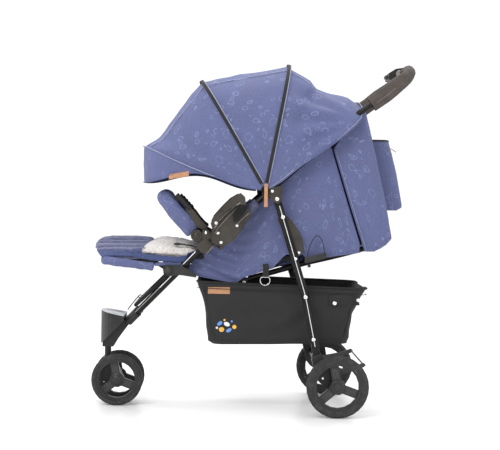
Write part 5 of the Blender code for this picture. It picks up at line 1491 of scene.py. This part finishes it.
def rivets():
    small = turned_head("rivet_start", 0.0042, 0.0008, [(0.0007, 0.0005), (0.0012, 0.0004), (0.0011, 0.0001)])
    big = turned_head("cap_rivet_start", 0.0056, 0.0010,
                      [(0.0009, 0.0006), (0.0016, 0.0005), (0.0014, -0.0004)])
    groups = (
        # piece that they sit in, name, places, outer face, number of the large one, body
        ("fold_housing_", "housing_rivet",
         ((-0.1001, 0.5235), (-0.0911, 0.4966), (-0.0465, 0.5454), (-0.1063, 0.5518)),
         HOUSING_OUT, None, "chassis"),
        ("leg_pivot_housing_", "pivot_rivet", ((0.066, 0.623), (0.052, 0.645)), PIVOT_OUT, 0, "handle"),
        ("seat_rail_", "rail_rivet", ((-0.0225, 0.3795), (-0.0150, 0.3965)), RAIL_OUT, 0, "seat"),
        ("wheel_bracket_", "bracket_bolt", ((0.2084, 0.1094), (0.2005, 0.1325)), BRACKET_OUT, None,
         "rear_frame"),
    )
    for side_name, side in SIDES.items():
        out = (0, side, 0)
        for i, (x, z) in enumerate(((0.084, 0.572), (0.123, 0.453), (0.154, 0.343), (0.180, 0.220))):
            place = (x, side * (leg_out(z) - LET_IN), z)
            stamp(big if i != 1 else small, f"leg_rivet_{i}_{side_name}", place, out, STEEL, "rear_frame")
        ear = ((-0.1470, 0.5180), (-0.1440, 0.5290), (-0.1330, 0.5325), (-0.1215, 0.5260), (-0.1180, 0.5120),
               (-0.1300, 0.4990), (-0.1430, 0.5050))
        plate("socket_ear_" + side_name, ear, side, 0.1975, 0.2094, HOUSING, "chassis", 0.0010)
        stamp(small, "socket_rivet_" + side_name, (-0.1342, side * 0.2092, 0.5229), out, STEEL, "chassis")
        for start, kind, spots, otherwise, large, body in groups:
            tree = surfaces(start + side_name)
            for i, (x, z) in enumerate(spots):
                y = outer_face(tree, x, z, side, otherwise)
                stamp(big if i == large else small, f"{kind}_{i}_{side_name}", (x, y - side * LET_IN, z),
                      out, STEEL, body)
    put_away(small, big)


def housing_trim():
    """Raised lines of each fold housing, pale ones painting highlights along its seam, ridge and edge and a
    dark one painting the shade in its groove; a dark plate painting the shade in its hollow; the web, the
    socket's boss and clamp plate, with a pale cord painting a highlight along the clamp's edge.
    """
    boss = turned_head("boss_start", 0.0162, 0.0012,
                       [(0.0012, 0.0012), (0.0028, 0.0), (0.0010, -0.0014), (0.0022, 0.0), (0.0010, 0.0016),
                        (0.0030, 0.0012), (0.0020, 0.0003)], 40)
    bolt = turned_head("joint_bolt_start", 0.0092, 0.0014,
                       [(0.0010, 0.0012), (0.0026, 0.0014), (0.0024, 0.0004)])
    cap = turned_head("boss_cap_start", 0.0048, 0.0010,
                      [(0.0008, 0.0008), (0.0016, 0.0006), (0.0012, 0.0001)])
    # Pale raised lines paint the highlights along the armrest's seam, the ridge and the edge; the dark groove
    # line paints the groove's shade.
    lines = {
        "armrest_seam_highlight": (((-0.1155, 0.5300), (-0.1040, 0.5475), (-0.0868, 0.5700), (-0.0620, 0.5930),
                          (-0.0380, 0.6110)), 0.0010),
        "housing_ridge_highlight": (((-0.1095, 0.5225), (-0.0985, 0.5395), (-0.0800, 0.5610), (-0.0560, 0.5860),
                           (-0.0360, 0.6050)), 0.0008),
        "housing_edge_highlight": (((-0.0465, 0.5500), (-0.0300, 0.5660), (-0.0130, 0.5815)), 0.0010),
        "housing_groove_shade": (((-0.0826, 0.5608), (-0.0704, 0.5450), (-0.0575, 0.5240)), 0.0006),
    }
    web = ((-0.1120, 0.5240), (-0.1100, 0.5430), (-0.0930, 0.5680), (-0.0680, 0.5930), (-0.0420, 0.6130),
           (-0.0310, 0.6050),
           (-0.0500, 0.5800), (-0.0800, 0.5500), (-0.1000, 0.5250))
    hollow = [(p.x, p.z) for p in smooth_line([(x, 0, z) for x, z in
              ((-0.0566, 0.5565), (-0.0565, 0.5780), (-0.0440, 0.5985), (-0.0290, 0.6055), (-0.0200, 0.6020),
               (-0.0200, 0.5930), (-0.0430, 0.5600), (-0.0566, 0.5565))], 36)[:-1]]
    clamp = ((-0.1636, 0.4834), (-0.1358, 0.5085), (-0.1118, 0.4862), (-0.1335, 0.4617), (-0.1480, 0.4660))
    for side_name, side in SIDES.items():
        out = (0, side, 0)
        plate("armrest_web_" + side_name, web, side, 0.2292, 0.2392, HOUSING, "chassis", 0.0004)
        housing = surfaces("fold_housing_" + side_name, "armrest_web_" + side_name)
        for name, (spots, thick) in lines.items():
            path = smooth_line([(x, 0, z) for x, z in spots], 30)
            heights = [abs(outer_face(housing, p.x, p.z, side, HOUSING_OUT)) for p in path]
            eased = [sum(heights[max(0, i - 2):i + 3]) / len(heights[max(0, i - 2):i + 3])
                     for i in range(len(heights))]
            path = [Vector((p.x, side * (h + 0.0001), p.z)) for p, h in zip(path, eased)]
            # Dark plastic for the groove's painted shade, pale plastic for the painted highlights.
            cordlike(f"{name}_{side_name}", path, thick, PLASTIC if "groove" in name else PALE_HIGHLIGHT, "chassis")
        # Painted shade: a dark gloss plate raised over the housing's hollow.
        y = max(abs(outer_face(housing, x, z, side, HOUSING_OUT)) for x, z in hollow)
        plate("housing_hollow_" + side_name, hollow, side, 0.2395, y + 0.0009, PAINT, "chassis", 0.0004,
              slot="plastic")
        stamp(boss, "socket_boss_" + side_name, (BUMPER_PIVOT[0], side * 0.2083, BUMPER_PIVOT[1]), out,
              HOUSING, "chassis")
        stamp(cap, "socket_boss_cap_" + side_name, (BUMPER_PIVOT[0], side * 0.2112, BUMPER_PIVOT[1]), out,
              HOUSING, "chassis")
        plate("socket_clamp_" + side_name, clamp, side, 0.2080, 0.2112, HOUSING, "chassis", 0.0010)
        # Painted highlight: a pale cord along the clamp plate's lower right edge.
        rim = [Vector((x, side * 0.2110, z)) for x,
               z in ((-0.1128, 0.4845), (-0.1230, 0.4732), (-0.1332, 0.4622))]
        cordlike("socket_clamp_highlight_" + side_name, smooth_line(rim, 10), 0.0009, PALE_HIGHLIGHT, "chassis")
        joint = surfaces("leg_rest_joint_" + side_name)
        x, z = LEG_REST_PIVOT
        y = outer_face(joint, x, z, side, 0.175)
        stamp(bolt, "leg_rest_bolt_" + side_name, (x, y - side * 0.0004, z), out, HOUSING, "chassis")
    put_away(boss, bolt, cap)


def hub_caps():
    """Hub caps, pale cords beside the spokes that paint highlights on their edges, and the lines round the
    tyres.
    """
    front = turned_head("front_cap_start", 0.0150, 0.0018,
                        [(0.0012, 0.0012), (0.0030, 0.0020), (0.0040, 0.0013), (0.0035, 0.0004)], 40)
    rear = turned_head("rear_cap_start", 0.0185, 0.0022,
                       [(0.0014, 0.0010), (0.0028, 0.0), (0.0008, -0.0016), (0.0030, 0.0), (0.0008, 0.0022),
                        (0.0050, 0.0006)], 40)
    for side_name, side in SIDES.items():
        for master, kind, (x, z) in ((front, "front", FRONT_HUB), (rear, "rear", REAR_HUB)):
            body = f"{kind}_wheel_{side_name}"
            tree = surfaces(f"{kind}_rim_{side_name}")
            y = outer_face(tree, x + 0.004, z, side, 0.25)
            stamp(master, f"{kind}_hub_cap_{side_name}", (x, y - side * 0.0012, z), (0, side, 0), RIM, body)
            near, far = (0.0200, 0.0440) if kind == "front" else (0.0245, 0.0540)
            # Pale cords along each spoke: painted highlights on its bevelled edges.
            for spoke in SPOKE_ANGLES:
                way = Vector((math.cos(math.radians(spoke)), 0, math.sin(math.radians(spoke))))
                beside = Vector((-way.z, 0, way.x))
                for k, off in enumerate((-0.0062, -0.0020, 0.0022, 0.0064)):
                    line = [Vector((x, 0, z)) + way * (near + (far - near) * i / 7) + beside * off
                            for i in range(8)]
                    line = [Vector((p.x, outer_face(tree, p.x, p.z, side, 0.25), p.z)) for p in line]
                    cordlike(f"{kind}_spoke_rib_{spoke}_{k}_{side_name}", line, 0.0007, SPOKE_HIGHLIGHT, body, 6)
            tyre_low, tyre_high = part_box(f"{kind}_tyre_{side_name}")
            middle = (tyre_low.y + tyre_high.y) / 2
            radius = z - 0.0135
            for face in (-1, 1):
                centre = (x, middle + face * ((tyre_high.y - tyre_low.y) / 2 - 0.0022), z)
                edge = "in" if face * side < 0 else "out"
                ring_of(f"{kind}_tyre_line_{edge}_{side_name}", centre, radius, 0.0011, (0, 1, 0), RIM, body,
                        slot="tyre")
    put_away(front, rear)


def leg_highlight_and_lens():
    """Painted highlight: a polished strip in the groove of each rear leg, for the reflection along the
    groove's edge; and the lens-shaped plate behind it.
    """
    for side_name, side in SIDES.items():
        path = [Vector((x, side * (leg_out(z) - 0.0003), z)) for x, z in
                ((0.0735, 0.604), (0.0935, 0.540), (0.1205, 0.453), (0.1385, 0.395), (0.1540, 0.343),
                 (0.1690, 0.275), (0.1850, 0.200))]
        # Steel strip that paints the highlight along the groove.
        ring = oval(0.0011, 0.0006, 8)
        piece = swept("leg_groove_line_" + side_name, smooth_line(path, 40), lambda i: ring,
                      Vector((1, 0, 0)))
        finished(piece, STEEL, "rear_frame", 60)
        lens = []
        corners = ((0.0690, 0.5635), (0.0775, 0.5790), (0.0906, 0.5785), (0.1150, 0.5560), (0.1350, 0.5260),
                   (0.1450, 0.4977), (0.1430, 0.4760), (0.1340, 0.4600), (0.1265, 0.4620), (0.1120, 0.4950),
                   (0.0860, 0.5350))
        for p in smooth_line([(x, 0, z) for x, z in corners + corners[:1]], 45)[:-1]:
            lens.append((p.x, p.z))
        plate("leg_lens_plate_" + side_name, lens, side, 0.2158, 0.2182, HOUSING, "rear_frame")
        small = turned_head("lens_rivet_start", 0.0042, 0.0008, [(0.0007, 0.0005), (0.0012, 0.0004)])
        stamp(small, "lens_rivet_" + side_name, (0.1325, side * 0.2181, 0.4700), (0, side, 0), STEEL,
              "rear_frame")
        put_away(small)


def tube_highlights():
    """Painted highlight: a bright strip along the upper edge of each front tube, for the reflection of a lamp
    in its gloss paint.
    """
    for side_name, side in SIDES.items():
        tube = surfaces("front_tube_" + side_name)
        spots = []
        for i in range(40):
            x = -0.152 - 0.190 * i / 39
            z = 0.50
            while z > 0.25:
                hit = tube.ray_cast(Vector((x, side, z)), Vector((0, -side, 0)), 0.99)[0]
                if hit:
                    break
                z -= 0.0005
            if hit:
                inner = tube.ray_cast(Vector((x, side, z - 0.0045)), Vector((0, -side, 0)), 0.99)[0] or hit
                spots.append((x, inner.y, z - 0.0045))
        line = []
        for i in range(len(spots)):
            near = spots[max(0, i - 3):i + 4]
            line.append(Vector((spots[i][0], sum(n[1] for n in near) / len(near),
                                sum(n[2] for n in near) / len(near)
                                + (spots[i][0] - sum(n[0] for n in near) / len(near)) * 1.02)))
        split = int(len(line) * 0.62)
        # Steel for the brighter upper part of the painted highlight, pale plastic for the dimmer lower part.
        for name, part, material in (("upper", line[:split + 1], STEEL), ("lower", line[split:], PALE_HIGHLIGHT)):
            part = [p + Vector((0, side * 0.0003, 0)) for p in part]
            ring = oval(0.0013, 0.0006, 8)
            piece = swept(f"front_tube_line_{name}_{side_name}", part, lambda i: ring, Vector((0.7, 0, -0.7)))
            finished(piece, material, "chassis", 60, slot="frame")


def webbing():
    """Carry loops, hanging rings and the liner's straps."""
    for side_name, side in SIDES.items():
        rails = surfaces("seat_rail_" + side_name)
        y = abs(outer_face(rails, 0.180, 0.4650, side, 0.2146)) + 0.0022
        loop = [Vector((0.1560, side * y, 0.4500)), Vector((0.1605, side * (y + 0.002), 0.4780)),
                Vector((0.1720, side * (y + 0.003), 0.5080)),
                Vector((0.1853, side * (y + 0.003), 0.5200)), Vector((0.1975, side * (y + 0.003), 0.5080)),
                Vector((0.2045, side * (y + 0.002), 0.4850)), Vector((0.2075, side * y, 0.4560))]
        path = smooth_line(loop, 36)
        lifted_behind(strap("carry_loop_" + side_name, path, 0.0075, 0.0022, WEBBING, None,
                            Vector((0, 1, 0))))
        block = [(0.1492, 0.4420), (0.1500, 0.4560), (0.2110, 0.4720), (0.2130, 0.4590), (0.2080, 0.4545),
                 (0.1560, 0.4400)]
        lifted_behind(plate("carry_loop_block_" + side_name, block, side, y - 0.0012, y + 0.0045, PLASTIC,
                            None))
        knob = turned_head("strap_knob_start", 0.0050, 0.0040, [(0.0008, 0.0010), (0.0016, 0.0006)])
        lifted_behind(stamp(knob, "carry_loop_knob_" + side_name, (0.1627, side * (y - 0.001), 0.4330),
                            (0, side, 0), PLASTIC, None))
        put_away(knob)
        y = abs(outer_face(rails, 0.0413, 0.4250, side, 0.204)) + 0.0012
        hang = [Vector((0.0385, side * (y - 0.001), 0.4360)), Vector((0.0395, side * (y + 0.0008), 0.4250)),
                Vector((0.0395, side * (y + 0.0006), 0.4120)), Vector((0.0385, side * (y - 0.0005), 0.3990))]
        ring = oval(0.0085, 0.0011, 12, 5)
        piece = swept("ring_tab_" + side_name, smooth_line(hang, 14), lambda i: ring, Vector((1, 0, 0)))
        finished(piece, WEBBING, "seat", 50)
        ring_of("hanging_ring_" + side_name, (0.0375, side * (y - 0.0008), 0.3880), 0.0140, 0.0011,
                (0, 1, 0), STEEL, "seat", 0.0095)
        strip = [Vector((-0.1640, side * 0.1535, 0.4800)), Vector((-0.1850, side * 0.1530, 0.4840)),
                 Vector((-0.2060, side * 0.1505, 0.4870))]
        strap("liner_strap_" + side_name, smooth_line(strip, 12), 0.0016, 0.0042, WEBBING, "chassis",
              Vector((0, 1, 0)))
        clasp = [(-0.2290, 0.4850), (-0.2270, 0.4895), (-0.2190, 0.4915), (-0.2080, 0.4895),
                 (-0.2040, 0.4865), (-0.2090, 0.4835), (-0.2200, 0.4830)]
        plate("liner_clasp_" + side_name, clasp, side, 0.1495, 0.1545, PLASTIC, "chassis", 0.0010)


def harness():
    """Five-point harness laid on the cushions, meeting at the buckle."""
    seat = surfaces("seat_cushion")
    back = surfaces("backrest_cushion", "seat_cushion")
    low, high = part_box("harness_buckle")
    middle = (low + high) / 2
    for side_name, side in SIDES.items():
        spots = spots_between(((0.318, side * 0.060), (0.230, side * 0.064), (0.140, side * 0.060),
                               (0.085, side * 0.052)), 22)
        path = laid(back, spots, 0.0022)
        strap("shoulder_strap_" + side_name, path, 0.026, 0.0018, WEBBING, "backrest")
        spots = spots_between(((0.262, side * 0.063), (0.200, side * 0.064), (0.150, side * 0.061)), 14)
        path = laid(back, spots, 0.0062)
        stuffed_tube("shoulder_pad_" + side_name, path, lambda i: oval(0.021, 0.0048, 16, 2.6), PLAIN_CLOTH,
                     "backrest")
        spots = spots_between(((-0.030, side * 0.112), (-0.060, side * 0.085), (-0.085, side * 0.050),
                               (middle.x + 0.004, side * 0.020)), 16)
        path = laid(seat, spots, 0.0022)
        path[-1].z = middle.z
        path[-2].z = max(path[-2].z, middle.z - 0.003)
        strap("waist_strap_" + side_name, path, 0.024, 0.0018, WEBBING, "seat", Vector((1, 0, 0)))
    spots = spots_between(((middle.x - 0.062, 0), (middle.x - 0.042, 0), (middle.x - 0.016, 0)), 12)
    path = laid(seat, spots, 0.0022)
    path[-1].z = middle.z
    strap("crotch_strap", path, 0.026, 0.0020, WEBBING, "seat")


def tube_sleeves():
    """Glossy cloth sleeve on each handle tube below the canopy's pivot."""
    for side_name, side in SIDES.items():
        line = [Vector((-0.034 + 0.050 * t, side * 0.219, 0.5620 + 0.0460 * t))
                + Vector((-0.0035, 0, 0.0040)) for t in (0, 0.33, 0.66, 1)]
        stuffed_tube("tube_sleeve_" + side_name, smooth_line(line, 16),
                     lambda i: oval(0.0122, 0.0165, 24, 2.4),
                     NAVY, "handle", lambda p, n: n * 0.0012 * lumps(p.x * 90, p.y * 50, p.z * 90))


def basket_trim():
    """Blank patch, flap with its snaps, seams and motif on both sides of the basket."""
    for side_name, side in SIDES.items():
        cloth = surfaces("basket_cloth")

        def on_cloth(x, z, lift):
            return Vector((x, outer_face(cloth, x, z, side, 0.18) + side * lift, z))

        rows = [[on_cloth(x, z, 0.0010) for x in (-0.1262, -0.1050, -0.0840, -0.0628)]
                for z in (0.3655, 0.3560, 0.3462)]
        if side > 0:
            rows = rows[::-1]
        patch("basket_patch_" + side_name, rows, 0.0014, TAN, "chassis")
        flap = [[on_cloth(x, z + 0.0010 * i, 0.0018) for i,
                 x in enumerate((0.2235, 0.2480, 0.2720, 0.2960, 0.3140))] for z in (0.3480, 0.3310, 0.3150)]
        if side > 0:
            flap = flap[::-1]
        patch("basket_flap_" + side_name, flap, 0.0022, BLACK_CLOTH, "chassis")
        snap = turned_head("snap_start", 0.0060, 0.0016,
                           [(0.0009, 0.0009), (0.0018, 0.0006), (0.0014, 0.0001)])
        place = on_cloth(0.2408, 0.3241, 0.0042)
        stamp(snap, "basket_snap_" + side_name, place, (0, side, 0), STEEL, "chassis")
        place = on_cloth(0.3095, 0.3330, 0.0042)
        stamp(snap, "basket_stud_" + side_name, place, (0, side, 0), STEEL, "chassis")
        put_away(snap)
        seam = [on_cloth(x, z, 0.0006) for x,
                z in ((-0.138, 0.355), (-0.128, 0.31), (-0.118, 0.26), (-0.104, 0.215))]
        cordlike("basket_front_seam_" + side_name, smooth_line(seam, 24), 0.0012, BLACK_CLOTH, "chassis")
        seam = [on_cloth(x, z, 0.0006) for x,
                z in ((0.296, 0.345), (0.288, 0.30), (0.280, 0.26), (0.268, 0.215))]
        cordlike("basket_rear_seam_" + side_name, smooth_line(seam, 24), 0.0012, BLACK_CLOTH, "chassis")
        motif(on_cloth, side_name, side)


def motif(on_cloth, side_name, side):
    """Plain printed motif: a bar of rounded lozenges and dots in blue, yellow and white."""
    shapes = (
        (-0.0905, 0.2600, 0.0085, 0.0052, 35, PRINT_BLUE),
        (-0.0700, 0.2580, 0.0090, 0.0060, -25, PRINT_WHITE),
        (-0.0850, 0.2420, 0.0078, 0.0070, 0, PRINT_YELLOW), (-0.0640, 0.2400, 0.0088, 0.0050, 30, PRINT_BLUE),
        (-0.0480, 0.2500, 0.0060, 0.0060, 0, PRINT_YELLOW), (-0.0985, 0.2470, 0.0034, 0.0034, 0, PRINT_WHITE),
        (-0.0770, 0.2700, 0.0030, 0.0030, 0, PRINT_YELLOW), (-0.0560, 0.2660, 0.0030, 0.0030, 0, PRINT_BLUE),
    )
    for i, (x, z, wide, tall, turn, ink) in enumerate(shapes):
        t = math.radians(turn)
        rows = []
        for share in (0.12, 0.45, 0.75, 1.0):
            ring = []
            for k in range(24):
                a = math.tau * k / 24
                dx = wide * share * math.cos(a)
                dz = tall * share * math.sin(a)
                ring.append(on_cloth(x + dx * math.cos(t) - dz * math.sin(t),
                                     z + dx * math.sin(t) + dz * math.cos(t), 0.0008))
            rows.append(ring if side < 0 else ring[::-1])
        piece = lofted(f"motif_{i}_{side_name}", rows, closed=True)
        with reshaped(piece) as made:
            made.faces.new([made.verts[k] for k in range(24)])
            bmesh.ops.recalc_face_normals(made, faces=made.faces)
            if sum(face.normal.y for face in made.faces) * side < 0:
                bmesh.ops.reverse_faces(made, faces=made.faces)
        modify(piece, "SOLIDIFY", thickness=0.0004, offset=1.0)
        finished(piece, ink, "chassis", 60)


def footrest_mat():
    """Pale ribbed mat that covers the footrest's tread."""
    piece = copy_of("footrest", "footrest_mat")
    low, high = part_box("footrest")
    with reshaped(piece) as made:
        drop = [face for face in made.faces if face.normal.z < 0.85]
        bmesh.ops.delete(made, geom=drop, context="FACES")
        bmesh.ops.dissolve_limit(made, angle_limit=0.02, verts=made.verts, edges=made.edges)
        bmesh.ops.inset_region(made, faces=made.faces, thickness=0.0025, depth=0)
    for vertex in piece.data.vertices:
        vertex.co.z += 0.0002
    modify(piece, "SOLIDIFY", thickness=0.0018, offset=1.0)
    modify(piece, "BEVEL", width=0.0005, segments=2, limit_method="ANGLE")
    finished(piece, TREAD, "chassis", 35)
    tree = surfaces("footrest_mat")
    for i, share in enumerate((0.35, 0.6, 0.82)):
        path = []
        for k in range(25):
            t = -math.pi / 2 + math.pi * k / 24
            x = high.x - 0.006 - (high.x - low.x - 0.010) * share * math.cos(t)
            y = (high.y - 0.008) * share * math.sin(t)
            hit = tree.ray_cast(Vector((x, y, 0.5)), Vector((0, 0, -1)), 1.0)[0]
            if hit and hit.z > 0.2:
                path.append(hit + Vector((0, 0, 0.0002)))
        if len(path) > 5:
            cordlike(f"footrest_rib_{i}", path, 0.0011, TREAD, "chassis", 6)


def brace_wire():
    """Thin sprung wire from the end of the brace down to the footrest."""
    for side_name, side in SIDES.items():
        y = side * 0.045
        path = smooth_line(((-0.330, y, 0.3215), (-0.336, y, 0.3225), (-0.345, y, 0.3120),
                            (-0.360, y, 0.2930), (-0.3655, y * 0.9, 0.2845)), 18)
        cordlike("footrest_wire_" + side_name, path, 0.0014, PAINT, "chassis", 8)


def handle_trim():
    """Ridges on the grips in lighter foam, which paints their highlights, and the ribbed cap on the fold
    mechanism in pale plastic that paints its glints.
    """
    _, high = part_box("fold_mechanism")
    master = turned_head("mechanism_cap_start", 0.0115, 0.0016,
                         [(0.0012, 0.0010), (0.0030, 0.0), (0.0008, -0.0012), (0.0030, 0.0),
                          (0.0010, 0.0012)], 36)
    for side_name, side in SIDES.items():
        # The cap's pale plastic paints the glints on the fold mechanism.
        stamp(master, "mechanism_cap_" + side_name, (0.437, side * (high.y - 0.0004), 1.004), (0, side, 0),
              PALE_HIGHLIGHT, "handle")
        # Ridge on the grip; its lighter foam is a painted highlight.
        line = smooth_line(((0.344, side * 0.2350, 0.9010), (0.372, side * 0.2352, 0.9215),
                            (0.402, side * 0.2320, 0.9465)), 16)
        ring = oval(0.0006, 0.0030, 10, 3)
        piece = swept("grip_ridge_highlight_" + side_name, line, lambda i: ring)
        finished(piece, GRIP_RIDGE_HIGHLIGHT, "handle", 60)
    put_away(master)


camera()
studio()
dress()
canopy()
for side_name, side in SIDES.items():
    side_wall(side_name, side)
back_wall()
pocket()
basket()
seat_pads()
leg_rest_cushion()
leg_rest_band()
liner()
bumper_cover()
rivets()
housing_trim()
hub_caps()
leg_highlight_and_lens()
tube_highlights()
webbing()
harness()
tube_sleeves()
basket_trim()
footrest_mat()
brace_wire()
handle_trim()
